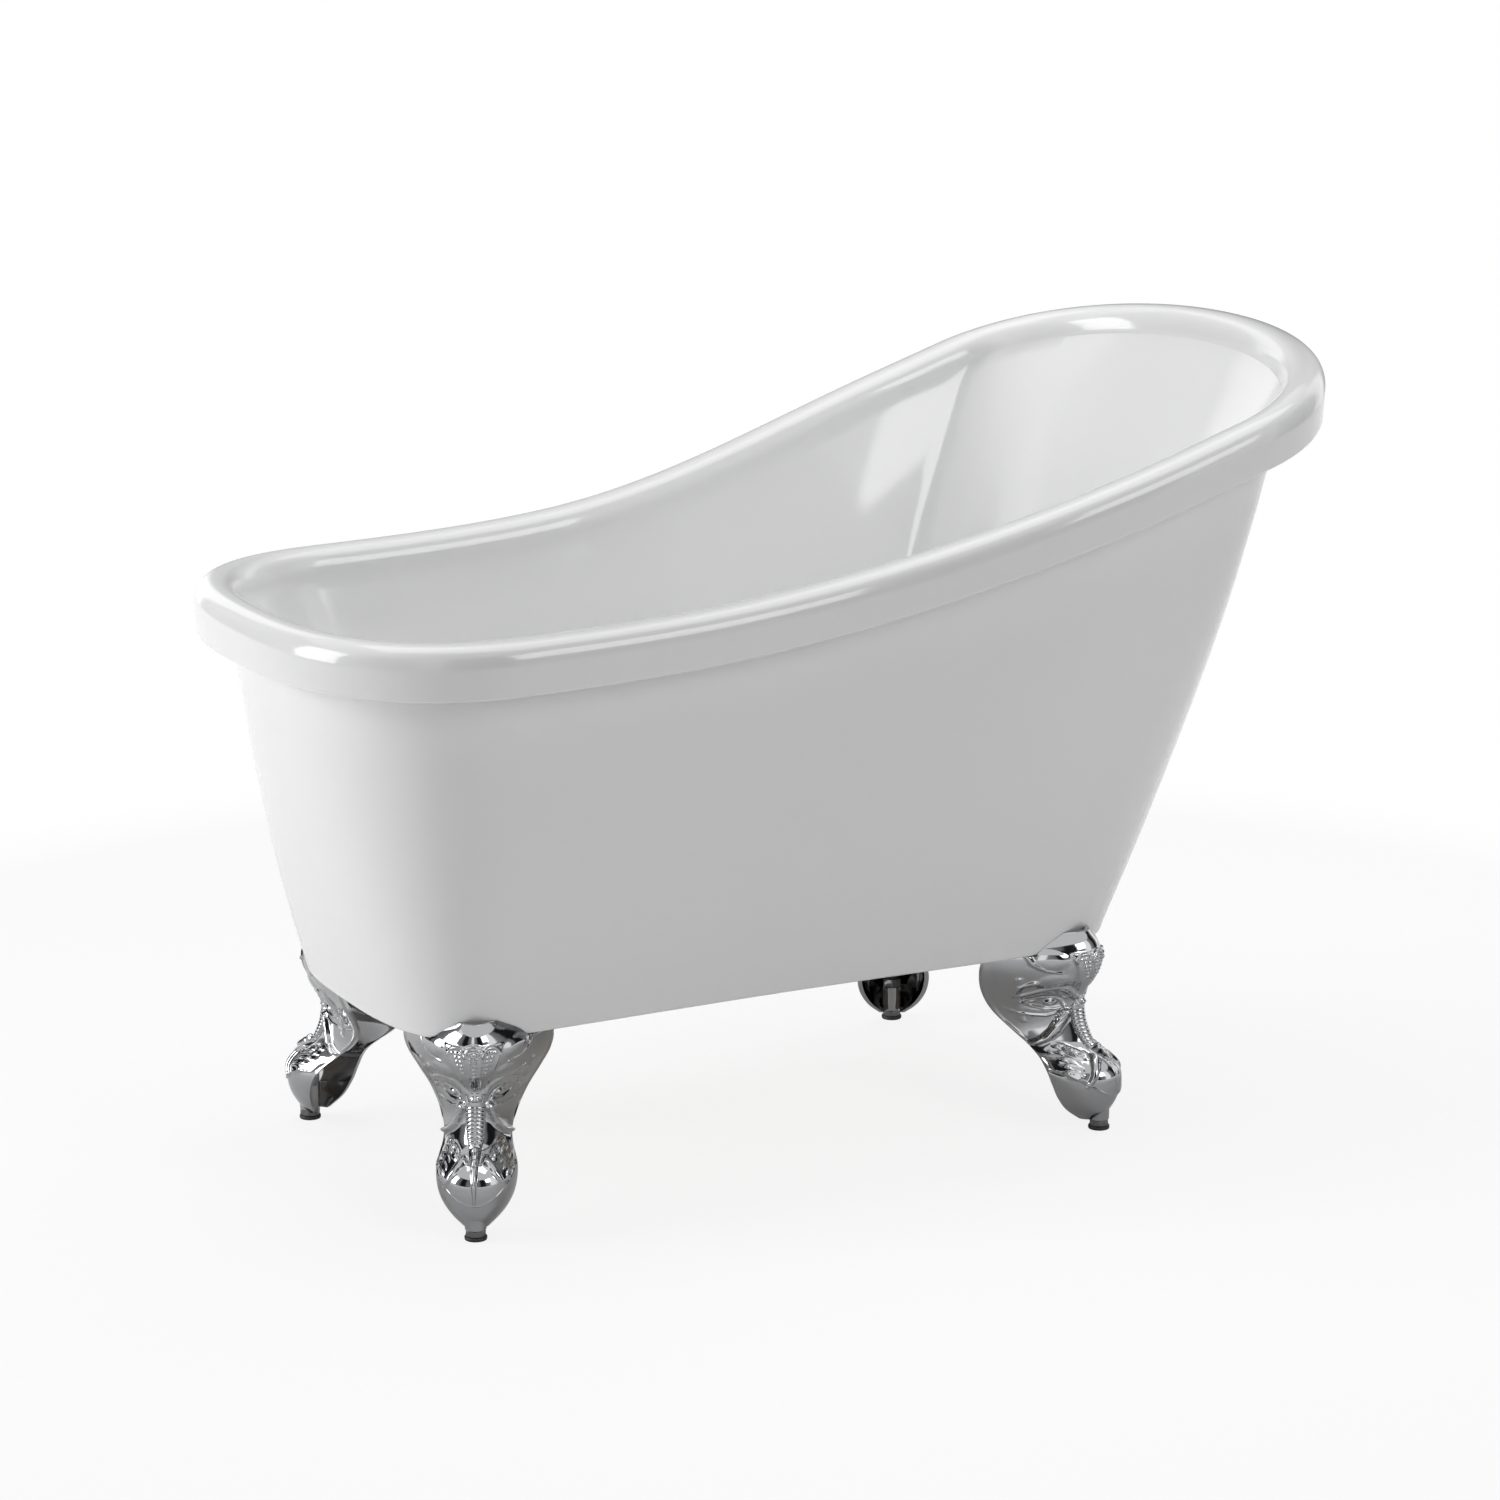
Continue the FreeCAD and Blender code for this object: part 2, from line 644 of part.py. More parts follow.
foot_shape = make_foot()
trim = body_block()
bolts = []
washers = []
nuts = []
screws = []
board_holes = []
for corner in feet:
    pieces["foot_" + corner] = at_foot(foot_shape, corner).cut(trim)
    pieces["bracket_" + corner] = at_foot(bracket, corner)
    for x, y in bolt_places:
        washer_low = ledge_low - foot_washer
        washers.append(at_foot(ring(foot_washer_radius, bolt_hole, washer_low, ledge_low, x, y), corner))
        bolt = hexagon(foot_bolt_hex, washer_low - bolt_head, washer_low, x, y)
        nut_top = bracket_top + nut_height
        bolt = bolt.fuse(cylinder(foot_bolt_radius, washer_low, nut_top + bolt_end, x, y))
        bolts.append(at_foot(bolt, corner))
        nut = hexagon(foot_bolt_hex, bracket_top, nut_top, x, y)
        nut = nut.cut(cylinder(foot_bolt_radius + running_gap, 0, board_top, x, y))
        nuts.append(at_foot(nut, corner))
        board_holes.append(at_foot(cylinder(nut_recess_radius, 0, nut_top + nut_recess_spare, x, y), corner))
    for x, y in screw_places:
        screw = cylinder(bracket_screw_radius * 1.9, bracket_low - screw_head, bracket_low, x, y)
        screw = screw.fuse(cylinder(bracket_screw_radius, bracket_low, bracket_low + screw_length, x, y))
        screws.append(at_foot(screw, corner))
        hole = cylinder(bracket_screw_radius + screw_bite, 0, bracket_low + screw_length + seat_gap, x, y)
        board_holes.append(at_foot(hole, corner))

for hole in board_holes:
    board = board.cut(hole)
pieces["foot_bolts"] = Part.makeCompound(bolts)
pieces["foot_washers"] = Part.makeCompound(washers)
pieces["foot_bolt_nuts"] = Part.makeCompound(nuts)
pieces["bracket_screws"] = Part.makeCompound(screws)


# ---------------------------------------------------------------- levellers
head_low = pad_thickness + seat_gap
head_high = head_low + leveller_head
lock_nut_low = boss_top + seat_gap
lock_nut_high = lock_nut_low + lock_nut_height
leveller_top = lock_nut_high + leveller_travel + leveller_spare
pad = cylinder(pad_radius, 0, pad_thickness).fuse(cylinder(pin_radius, 0, pad_thickness + pin_length))
leveller = hexagon(leveller_hex, head_low, head_high)
leveller = leveller.fuse(cylinder(leveller_radius, head_high, leveller_top))
leveller = leveller.cut(cylinder(pin_radius + running_gap, 0, pad_thickness + pin_length + seat_gap))
lock_nut = hexagon(leveller_hex, lock_nut_low, lock_nut_high)
lock_nut = lock_nut.cut(cylinder(leveller_bore, 0, lock_nut_high + 1))
lock_nuts = []
for corner in feet:
    pieces["leveller_pad_" + corner] = at_foot(pad, corner)
    pieces["leveller_screw_" + corner] = at_foot(leveller, corner)
    lock_nuts.append(at_foot(lock_nut, corner))
pieces["leveller_lock_nuts"] = Part.makeCompound(lock_nuts)


# ---------------------------------------------------------------- waste and plug
seal_top = recess_top + washer_thickness
flange_top = seal_top + flange_thickness
tail_low = seal_top - tail_length
tail_bore = tail_radius - tail_wall
boss_low = tail_low + spider_height
boss_high = boss_low + spider_thickness
arm_reach = tail_bore + tail_wall / 2
waste_flange = cylinder(flange_radius, seal_top, flange_top, waste_x)
waste_flange = waste_flange.fuse(cylinder(tail_radius, tail_low, seal_top, waste_x))
waste_flange = waste_flange.cut(cylinder(tail_bore, tail_low - 1, flange_top + 1, waste_x))
for half_x, half_y in ((arm_reach, spider_arm / 2), (spider_arm / 2, arm_reach)):
    corner_point = Vector(waste_x - half_x, -half_y, boss_low)
    waste_flange = waste_flange.fuse(Part.makeBox(2 * half_x, 2 * half_y, spider_thickness, corner_point))
waste_flange = waste_flange.fuse(cylinder(spider_boss_radius, boss_low, boss_high, waste_x))
waste_flange = waste_flange.cut(cylinder(stem_radius + running_gap, boss_low - 1, boss_high + 1, waste_x))
pieces["waste_flange"] = waste_flange
seal_edge = flange_radius - washer_margin
pieces["waste_top_seal"] = ring(seal_edge, tail_radius + washer_margin, recess_top, seal_top, waste_x)

lower_seal_low = basin_under - washer_thickness
nut_low = lower_seal_low - back_nut_height
thread_gap = tail_radius + running_gap
lower_edge = back_nut_radius - washer_margin
pieces["waste_lower_seal"] = ring(lower_edge, tail_radius + washer_margin, lower_seal_low, basin_under, waste_x)
pieces["waste_back_nut"] = ring(back_nut_radius, thread_gap, nut_low, lower_seal_low, waste_x)

socket_top = nut_low - seat_gap
socket_low = tail_low - 1.0
waste_body_low = socket_low - body_depth
port_z = waste_body_low + port_height
outlet_low = waste_body_low - trap_thread_length
port_bore = pipe_radius + running_gap
port_reach = body_radius + port_length
port_end = waste_x - port_reach
port_from = Vector(waste_x, 0, port_z)
toward_toe = Vector(-1, 0, 0)
waste_body = cylinder(body_radius, waste_body_low, socket_top, waste_x)
waste_body = waste_body.fuse(cylinder(trap_thread_radius, outlet_low, waste_body_low, waste_x))
waste_body = waste_body.fuse(Part.makeCylinder(port_bore + port_wall, port_reach, port_from, toward_toe))
waste_body = waste_body.cut(cylinder(tail_bore, outlet_low - 1, socket_top + 1, waste_x))
waste_body = waste_body.cut(cylinder(thread_gap, socket_low, socket_top + 1, waste_x))
pieces["waste_body"] = waste_body.cut(Part.makeCylinder(port_bore, port_reach + 1, port_from, toward_toe))

cartridge_top = boss_low - seat_gap
stem_low = cartridge_top - plug_travel - stem_spare
cartridge = cylinder(cartridge_radius, stem_low - cartridge_floor, cartridge_top, waste_x)
cartridge = cartridge.cut(cylinder(stem_radius + running_gap, stem_low - seat_gap, cartridge_top + 1, waste_x))
pieces["plug_cartridge"] = cartridge
plug_seal_low = flange_top + seat_gap
plug_low = plug_seal_low + plug_seal_thickness
stem_top = plug_low + plug_socket
dome = Part.makeSphere(plug_dome, Vector(waste_x, 0, plug_low + plug_thickness - plug_dome))
plug_cap = cylinder(plug_radius, plug_low, plug_low + plug_thickness, waste_x).common(dome)
pieces["plug_cap"] = plug_cap.cut(cylinder(stem_radius, plug_low - 1, stem_top, waste_x))
pieces["plug_stem"] = cylinder(stem_radius, stem_low, stem_top, waste_x)
plug_seal_bore = tail_bore + seat_gap
plug_seal_edge = plug_seal_bore + plug_seal_width
pieces["plug_seal"] = ring(plug_seal_edge, plug_seal_bore, plug_seal_low, plug_low, waste_x)


# ---------------------------------------------------------------- overflow
def overflow_ring(outer, inner, start, end):
    return overflow_drum(outer, start, end).cut(overflow_drum(inner, start - 1, end + 1))


drum_radius = cover_radius - drum_margin
drum_low = basin_thickness + face_seal
drum_high = drum_low + drum_depth
outlet_depth = drum_high - port_bore - drum_outlet_wall
mid_wall = basin_thickness / 2
front_ring = overflow_ring(drum_radius, overflow_hole_radius, -face_seal, mid_wall)
back_ring = overflow_ring(drum_radius, overflow_hole_radius, mid_wall, drum_low)
pieces["overflow_front_seal"] = front_ring.cut(basin)
pieces["overflow_back_seal"] = back_ring.cut(basin)
cover_face = -face_seal - cover_thickness
cover = overflow_drum(cover_radius, cover_face, -face_seal)
cover = cover.cut(overflow_drum(cover_screw_radius + cover_screw_gap, cover_face - 1, 0))
for slot in range(cover_slots):
    angle = 2 * math.pi * slot / cover_slots
    sideways = Vector(0, 1, 0) * (cover_slot_ring * math.sin(angle))
    upward = wall_run * (cover_slot_ring * math.cos(angle))
    hole = overflow_drum(cover_slot_radius, cover_face - 1, 0)
    hole.translate(sideways + upward)
    cover = cover.cut(hole)
pieces["overflow_cover"] = cover

down = -wall_run if wall_run.z > 0 else Vector(wall_run)
outlet_from = overflow_at + overflow_axis * outlet_depth
outlet_length = drum_radius + port_length
drum = overflow_drum(drum_radius, drum_low, drum_high)
drum = drum.fuse(Part.makeCylinder(port_bore + port_wall, outlet_length, outlet_from, down))
drum = drum.cut(overflow_drum(drum_radius - drum_wall, drum_low - 1, drum_high - drum_back))
drum = drum.cut(Part.makeCylinder(port_bore, outlet_length + 1, outlet_from, down))
post = overflow_drum(post_radius, drum_low, drum_high - drum_back)
drum = drum.fuse(post).cut(overflow_drum(cover_screw_radius, 0, drum_low + cover_screw_grip + 1))
pieces["overflow_body"] = drum
overflow_screw = overflow_drum(cover_screw_head, cover_face - cover_screw_dome, cover_face)
screw_shank = overflow_drum(cover_screw_radius, cover_face, drum_low + cover_screw_grip)
pieces["overflow_screw"] = overflow_screw.fuse(screw_shank)

# The pipe's route down the gap between the two shells and under the floor to the waste
pipe_start = outlet_from + down * (outlet_length - port_length)
pipe_bend = outlet_from + down * (outlet_length + 3 * pipe_nut_length)
pipe_drop_x = body_toe_x + flange_width + pipe_radius + pipe_skin_gap
pipe_route = [
    pipe_start,
    pipe_bend,
    Vector(pipe_drop_x, 0, board_top + pipe_bend_height),
    Vector(pipe_drop_x, 0, port_z),
    Vector(port_end + port_length, 0, port_z),
]


def rounded_path(route):
    """Straight runs joined by tangent arcs as large as the shorter run allows."""
    edges = []
    start = route[0]
    for before, corner, after in zip(route, route[1:], route[2:]):
        run_in = before - corner
        run_out = after - corner
        reach = 0.45 * min(run_in.Length, run_out.Length)
        run_in.normalize()
        run_out.normalize()
        half_turn = (math.pi - run_in.getAngle(run_out)) / 2
        radius = reach / math.tan(half_turn)
        inward = run_in + run_out
        inward.normalize()
        middle = corner + inward * (radius / math.cos(half_turn) - radius)
        enter = corner + run_in * reach
        leave = corner + run_out * reach
        edges.append(line_edge(start, enter))
        edges.append(Part.Arc(enter, middle, leave).toShape())
        start = leave
    edges.append(line_edge(start, route[-1]))
    return Part.Wire(edges)


def tube_along(path, radius):
    start = path.Edges[0].valueAt(path.Edges[0].FirstParameter)
    section = Part.Wire(Part.makeCircle(radius, start, path.Edges[0].tangentAt(0)))
    return path.makePipeShell([section], True, False)


pipe_path = rounded_path(pipe_route)
pieces["overflow_pipe"] = tube_along(pipe_path, pipe_radius).cut(tube_along(pipe_path, pipe_radius - pipe_wall))


def pipe_nut(start, direction):
    nut = Part.makeCylinder(port_bore + pipe_nut_wall, pipe_nut_length, start, direction)
    return nut.cut(Part.makeCylinder(port_bore, pipe_nut_length + 2, start - direction, direction))


upper_nut = pipe_nut(outlet_from + down * (outlet_length + seat_gap), down)
lower_nut = pipe_nut(Vector(port_end - seat_gap, 0, port_z), toward_toe)
pieces["overflow_nuts"] = Part.makeCompound([upper_nut, lower_nut])

notch_length = 2 * pipe_radius + notch_toe_margin + notch_bend_margin
notch_half = pipe_radius + notch_margin
notch_corner = Vector(pipe_drop_x - pipe_radius - notch_toe_margin, -notch_half, board_bottom - 1)
notch = Part.makeBox(notch_length, 2 * notch_half, board_thickness + 2, notch_corner)
pieces["base_board"] = board.cut(notch)

for name, shape in pieces.items():
    shape.exportStep("parts/" + name + ".step")
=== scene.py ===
import json
import math
import bpy
import numpy as np
from mathutils import Matrix, Vector


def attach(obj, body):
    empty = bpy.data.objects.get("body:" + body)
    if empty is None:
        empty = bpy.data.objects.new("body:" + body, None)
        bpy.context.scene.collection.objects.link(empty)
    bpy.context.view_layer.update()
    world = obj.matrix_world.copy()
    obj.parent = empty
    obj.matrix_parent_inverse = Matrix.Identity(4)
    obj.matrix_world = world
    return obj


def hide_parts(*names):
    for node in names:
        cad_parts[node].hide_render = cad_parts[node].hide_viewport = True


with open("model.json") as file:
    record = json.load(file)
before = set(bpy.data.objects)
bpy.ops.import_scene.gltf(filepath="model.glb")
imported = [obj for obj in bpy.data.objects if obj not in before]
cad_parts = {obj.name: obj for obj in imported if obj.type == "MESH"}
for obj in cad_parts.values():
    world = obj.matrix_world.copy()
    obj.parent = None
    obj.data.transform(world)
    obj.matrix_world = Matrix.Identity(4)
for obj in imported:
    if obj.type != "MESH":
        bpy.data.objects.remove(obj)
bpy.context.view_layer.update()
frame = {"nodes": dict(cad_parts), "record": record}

# ---------------------------------------------------------------- studio
# A plain studio: a pale floor that fades to white, soft lamps at both ends, above and on the near side, and
# striped walls that only polished surfaces see. The camera looks from the near toe side, as the photo does.
camera_azimuth = -28.344        # degrees, 0 looks along +Y
camera_elevation = 14.138
camera_distance = 4.0726
camera_target = Vector((-0.0166, 0.0, 0.3535))
lens_mm = 105.6                 # on a square 36 mm frame
sensor_mm = 36.0

turn = math.radians(camera_azimuth)
rise = math.radians(camera_elevation)
toward_camera = Vector((math.sin(turn) * math.cos(rise), -math.cos(turn) * math.cos(rise), math.sin(rise)))
camera_data = bpy.data.cameras.new("camera")
camera_data.lens = lens_mm
camera_data.sensor_width = sensor_mm
camera_data.dof.use_dof = False
camera = bpy.data.objects.new("camera", camera_data)
camera.location = camera_target + toward_camera * camera_distance
camera.rotation_mode = "QUATERNION"
camera.rotation_quaternion = (-toward_camera).to_track_quat("-Z", "Y")
bpy.context.scene.collection.objects.link(camera)
bpy.context.scene.camera = camera
bpy.context.scene.view_settings.view_transform = "Standard"


def lamp(name, place, aim, width, height, power):
    """A soft rectangular lamp that points from place to aim, in metres, with its power in watts."""
    data = bpy.data.lights.new(name, "AREA")
    data.shape = "RECTANGLE"
    data.size = width
    data.size_y = height
    data.energy = power
    lamp_object = bpy.data.objects.new(name, data)
    lamp_object.location = place
    lamp_object.rotation_mode = "QUATERNION"
    lamp_object.rotation_quaternion = (Vector(aim) - Vector(place)).to_track_quat("-Z", "Y")
    bpy.context.scene.collection.objects.link(lamp_object)
    return lamp_object


lamp("toe_lamp", (-3.4, 1.1, 1.35), (0.0, 0.0, 0.5), 1.6, 2.3, 70)
lamp("top_lamp", (0.2, 0.3, 3.4), (0.0, 0.0, 0.3), 3.2, 2.4, 59)
lamp("near_lamp", (1.2, -3.4, 2.2), (0.0, 0.0, 0.35), 1.2, 1.6, 30)
head_lamp = lamp("head_lamp", (3.4, 1.2, 1.0), (0.0, 0.0, 0.4), 1.6, 1.8, 26)
head_lamp.visible_glossy = False                # it lights the head end without a patch on the rim


def start_tree(owner):
    """The emptied node tree of a world or a material."""
    owner.use_nodes = True
    owner.node_tree.nodes.clear()
    return owner.node_tree


def add_node(tree, kind, inputs=(), operation=None):
    """A new node. Each input is set to a value or linked to the output of another node."""
    node = tree.nodes.new("ShaderNode" + kind)
    if operation is not None:
        node.operation = operation
    for label, term in dict(inputs).items():
        if isinstance(term, bpy.types.NodeSocket):
            tree.links.new(term, node.inputs[label])
        else:
            node.inputs[label].default_value = term
    return node


def add_math(tree, operation, *terms):
    """The output of one maths node."""
    return add_node(tree, "Math", enumerate(terms), operation).outputs[0]


def add_mix(tree, *terms):
    """A shader that goes from the second term to the third as the first goes from 0 to 1."""
    return add_node(tree, "MixShader", enumerate(terms)).outputs[0]


def add_ramp(tree, value, stops):
    """A colour that runs through the stops, each a position and a colour, as the value goes from 0 to 1."""
    ramp = add_node(tree, "ValToRGB", {"Fac": value})
    elements = ramp.color_ramp.elements
    for index, (position, color) in enumerate((stops[0], stops[-1])):
        elements[index].position = position
        elements[index].color = (*color, 1.0)
    for position, color in stops[1:-1]:
        elements.new(position).color = (*color, 1.0)
    return ramp.outputs["Color"]


def seen_directly(tree):
    """1 for rays from the camera and rays that mirror or pass through polished things, else 0. The second
    output is 1 for rays from the camera alone."""
    path = add_node(tree, "LightPath").outputs
    shown = add_math(tree, "MAXIMUM", path["Is Camera Ray"], path["Is Glossy Ray"])
    return add_math(tree, "MAXIMUM", shown, path["Is Transmission Ray"]), path["Is Camera Ray"]


white = (1.0, 1.0, 1.0, 1.0)
ambient_level = 0.12            # light on the object from all around; what is seen directly is plain white
world = bpy.data.worlds.new("studio")
bpy.context.scene.world = world
tree = start_tree(world)
ambient = add_node(tree, "Background", {"Color": white, "Strength": ambient_level})
backdrop = add_node(tree, "Background", {"Color": white})
sky = add_mix(tree, seen_directly(tree)[0], ambient.outputs[0], backdrop.outputs[0])
add_node(tree, "OutputWorld", {"Surface": sky})


def new_mesh(name, points, faces, smooth_angle=None):
    """An object whose mesh holds the points, in metres, and the faces, smooth below the given angle."""
    mesh = bpy.data.meshes.new(name)
    mesh.from_pydata(points.tolist(), [], faces.tolist() if isinstance(faces, np.ndarray) else faces)
    mesh.shade_smooth()
    mesh.update()
    if smooth_angle is not None:
        mesh.set_sharp_from_angle(angle=math.radians(smooth_angle))
    piece = bpy.data.objects.new(name, mesh)
    bpy.context.scene.collection.objects.link(piece)
    return piece


def circle(radius, x=0.0, y=0.0, count=48):
    """An anticlockwise circle's points at even angles."""
    angle = np.arange(count) * 2 * np.pi / count
    return np.stack([x + radius * np.cos(angle), y + radius * np.sin(angle)], 1)


floor_half = 14.0
floor_corners = np.array([(-1, -1, 0), (1, -1, 0), (1, 1, 0), (-1, 1, 0)]) * floor_half
floor_tone = (0.93, 0.93, 0.93, 1.0)
floor_lift = 0.85               # how far the floor's own shade is lifted toward white
fade_start = 0.5                # metres from the middle where the floor starts to go over to plain white
fade_end = 1.4
floor = new_mesh("floor", floor_corners, [(0, 1, 2, 3)])
floor_paint = bpy.data.materials.new("pale_floor")
tree = start_tree(floor_paint)
place = add_node(tree, "TexCoord").outputs["Object"]
away = add_node(tree, "VectorMath", {0: place}, "LENGTH").outputs["Value"]
fade = add_node(tree, "MapRange", {"From Min": fade_start, "From Max": fade_end, "Value": away})
fade.interpolation_type = "SMOOTHSTEP"
shown, from_camera = seen_directly(tree)
far_off = add_math(tree, "MULTIPLY", fade.outputs["Result"], shown)
lifted = add_math(tree, "MULTIPLY", from_camera, floor_lift)
matt = add_node(tree, "BsdfDiffuse", {"Color": floor_tone})
glow = add_node(tree, "Emission")
upper_side = add_mix(tree, add_math(tree, "MAXIMUM", far_off, lifted), matt.outputs[0], glow.outputs[0])
facing = add_node(tree, "NewGeometry")
clear = add_node(tree, "BsdfTransparent")       # the floor hides nothing from a camera below it
one_sided = add_mix(tree, facing.outputs["Backfacing"], upper_side, clear.outputs[0])
add_node(tree, "OutputMaterial", {"Surface": one_sided})
floor.data.materials.append(floor_paint)

wall_radius = 5.5
wall_height = 5.2
wall_columns = 96
wall_stripes = 5.0              # light and dark pairs around the ring
wall_glow = 1.5
wall_stops = ((0.10, (0.012, 0.012, 0.013)), (0.22, (0.16, 0.16, 0.1632)), (0.74, (0.26, 0.26, 0.2652)),
              (0.90, (1.0, 1.0, 1.0)))
wall_ring = circle(wall_radius, count=wall_columns)
wall_points = np.concatenate([np.c_[wall_ring, np.full(wall_columns, z)] for z in (0, wall_height)])
column = np.arange(wall_columns)
after = (column + 1) % wall_columns
wall_faces = np.stack([column, after, after + wall_columns, column + wall_columns], 1)
walls = new_mesh("studio_walls", wall_points, wall_faces)
wall_paint = bpy.data.materials.new("studio_grey")
tree = start_tree(wall_paint)
place = add_node(tree, "TexCoord").outputs["Object"]
split = add_node(tree, "SeparateXYZ", {0: place}).outputs
around = add_math(tree, "ARCTAN2", split["Y"], split["X"])
wave = add_math(tree, "SINE", add_math(tree, "MULTIPLY", around, wall_stripes))
tone = add_math(tree, "MULTIPLY_ADD", wave, 0.5, 0.5)
glow = add_node(tree, "Emission", {"Color": add_ramp(tree, tone, wall_stops), "Strength": wall_glow})
add_node(tree, "OutputMaterial", {"Surface": glow.outputs[0]})
walls.data.materials.append(wall_paint)
walls.visible_camera = False
walls.visible_diffuse = False
walls.visible_shadow = False
walls.visible_transmission = False


# ---------------------------------------------------------------- inner shell
# The basin with its rolled rim and lip is one sheet of white cast acrylic, drawn down over a mould.
# Its outline widens toward the head, and the rim climbs there. It hangs over the outer shell's top edge.
mm = 0.001
rim_length = 1050.0
toe_width = 482.0
head_width = 568.0
toe_round = 167.0
head_round = 155.0
widening = (-130.0, 285.0)
rim_height = 538.0
rim_slope = 0.33
climb_middle = -58.0
climb_bend = 95.0
roll_outer = 21.0
roll_inner = 19.0
lip_drop = 47.0
roll_inner_drop = 27.0
shell_wall = 5.0
basin_under = 187.6
waste_x = -262.0
waste_hole_radius = 26.0
recess_radius = 40.0
recess_depth = 3.0
floor_fall = 5.0
basin_rounding = 36.0
wall_bend = (0.42, 0.17, 0.18)       # the wall's third pole, share of its climb: side, more at toe and head
wall_hug = (0.42, -0.14, -0.07)      # the same pole, share of its outward reach
lip_lean = 1.5
lip_edge = 2.0
lip_shoulder = 0.45                  # share of the lip's drop where the roll runs into it
half_count = 168                     # sections along each side of the bath


def soft_step(value):
    """The value held between 0 and 1, then 3 times its square less 2 times its cube."""
    value = value.clip(0, 1)
    return value * value * (3 - 2 * value)


def egg(spec, stations, side):
    """The outline's points at stations 0 (head tip) to 3 (toe tip): a quarter of a superellipse, a straight
    side that widens by a soft step, and another quarter. side is 1 for the far side, -1 for the near one."""
    toe_x, head_x, toe_end, head_end, toe_half, head_half, toe_power, head_power = spec
    head_start = head_x - head_end
    toe_start = toe_x + toe_end
    head_angle = np.clip(stations, 0, 1) * np.pi / 2
    toe_angle = np.clip(3 - stations, 0, 1) * np.pi / 2
    head_along = np.abs(np.cos(head_angle)) ** (2 / head_power)
    toe_along = np.abs(np.cos(toe_angle)) ** (2 / toe_power)
    straight_x = head_start + (toe_start - head_start) * (stations - 1)
    x = np.where(stations < 1, head_start + head_end * head_along, straight_x)
    x = np.where(stations > 2, toe_start - toe_end * toe_along, x)
    share = np.where(stations < 1, np.sin(head_angle) ** (2 / head_power), 1.0)
    share = np.where(stations > 2, np.sin(toe_angle) ** (2 / toe_power), share)
    half = toe_half + (head_half - toe_half) * soft_step((x - widening[0]) / (widening[1] - widening[0]))
    return np.stack([x, half * share * side], 1)


def outward(line):
    """Unit normals of a closed outline that runs anticlockwise: at each point the direction from the point
    before to the point after, turned clockwise by a quarter."""
    run = np.roll(line, -1, 0) - np.roll(line, 1, 0)
    run /= np.linalg.norm(run, axis=1)[:, None]
    return np.stack([run[:, 1], -run[:, 0]], 1)


# Each outline: x of the toe and head tips, the length of their quarters, half widths there, and the
# quarters' powers. Sections stand at even steps along the rim. The rim's crest bends by a soft ramp, the
# slope times the bend's length times ln(1 + e^(distance past the bend's middle / its length)). A section
# faces the head or the toe by the square of its normal's x that way.
roll_tip = rim_length / 2 - roll_outer
rim_spec = (-roll_tip, roll_tip, toe_round, head_round, toe_width / 2 - roll_outer,
            head_width / 2 - roll_outer, 2.6, 2.05)
body_spec = (-428.5, 323.0, 95.0, 180.0, 165.0, 178.0, 3.0, 2.7)
basin_spec = (-350.0, 270.0, 95.0, 180.0, 128.0, 140.0, 3.0, 2.7)
fine = np.linspace(0, 3, 6001)
fine_rim = egg(rim_spec, fine, 1)
reach = np.concatenate([[0], np.cumsum(np.linalg.norm(np.diff(fine_rim, axis=0), axis=1))])
far_stations = np.interp(np.linspace(0, reach[-1], half_count + 1), reach, fine)
stations = np.concatenate([far_stations, far_stations[-2:0:-1]])
sides = np.concatenate([np.ones(half_count + 1), -np.ones(half_count - 1)])
rim_line = egg(rim_spec, stations, sides)
body_line = egg(body_spec, stations, sides)
basin_line = egg(basin_spec, stations, sides)
rim_normals = outward(rim_line)
body_normals = outward(body_line)
basin_normals = outward(basin_line)
crest = rim_height + rim_slope * climb_bend * np.log1p(np.exp((rim_line[:, 0] - climb_middle) / climb_bend))
headness = np.maximum(rim_normals[:, 0], 0) ** 2
toeness = np.maximum(-rim_normals[:, 0], 0) ** 2
recess_top = basin_under + shell_wall
floor_low = recess_top + recess_depth
basin_reach = np.hypot(basin_line[:, 0] - waste_x, basin_line[:, 1])
floor_z = floor_low + floor_fall * basin_reach / (basin_spec[1] - waste_x)


def beside(line, normals, offset, z):
    """Points offset outward from an outline, at height z; each may vary along it."""
    moved = line + normals * np.broadcast_to(offset, len(line))[:, None]
    return np.column_stack([moved, np.broadcast_to(z, len(line))])


def by_rim(offset, drop):
    """The rim line's points, moved outward by the offset and down from the crest by the drop."""
    return beside(rim_line, rim_normals, offset, crest - drop)


def straight(start, end, count):
    """Evenly spaced points of straight runs from each start to each end, without the ends."""
    share = np.linspace(0, 1, count, endpoint=False)[None, :, None]
    return start[:, None] * (1 - share) + end[:, None] * share


def bezier(poles, count):
    """Points of one cubic Bezier curve for each section, without its end. With r = 1 - t, the poles weigh
    r cubed, 3 t r squared, 3 t squared r and t cubed."""
    t = np.linspace(0, 1, count, endpoint=False)[None, :, None]
    a, b, c, d = [pole[:, None] for pole in poles]
    return a * (1 - t) ** 3 + 3 * b * t * (1 - t) ** 2 + 3 * c * t * t * (1 - t) + d * t ** 3


def wall_poles(outset, low):
    """The four poles of the basin wall's curve, from floor to roll, moved outward by outset. The third lies
    at set shares of the way from the wall's foot to the roll, which change toward the toe and the head."""
    flat = beside(basin_line, basin_normals, -basin_rounding, low)
    corner = beside(basin_line, basin_normals, outset, low)
    top = by_rim(outset - roll_inner, roll_inner_drop)
    foot = np.column_stack([basin_line, floor_z])
    bend, hug = [part[0] + part[1] * toeness + part[2] * headness for part in (wall_bend, wall_hug)]
    middle = foot + (top - foot) * np.column_stack([hug, hug, bend])
    middle[:, :2] += rim_normals * outset
    return flat, corner, middle, top


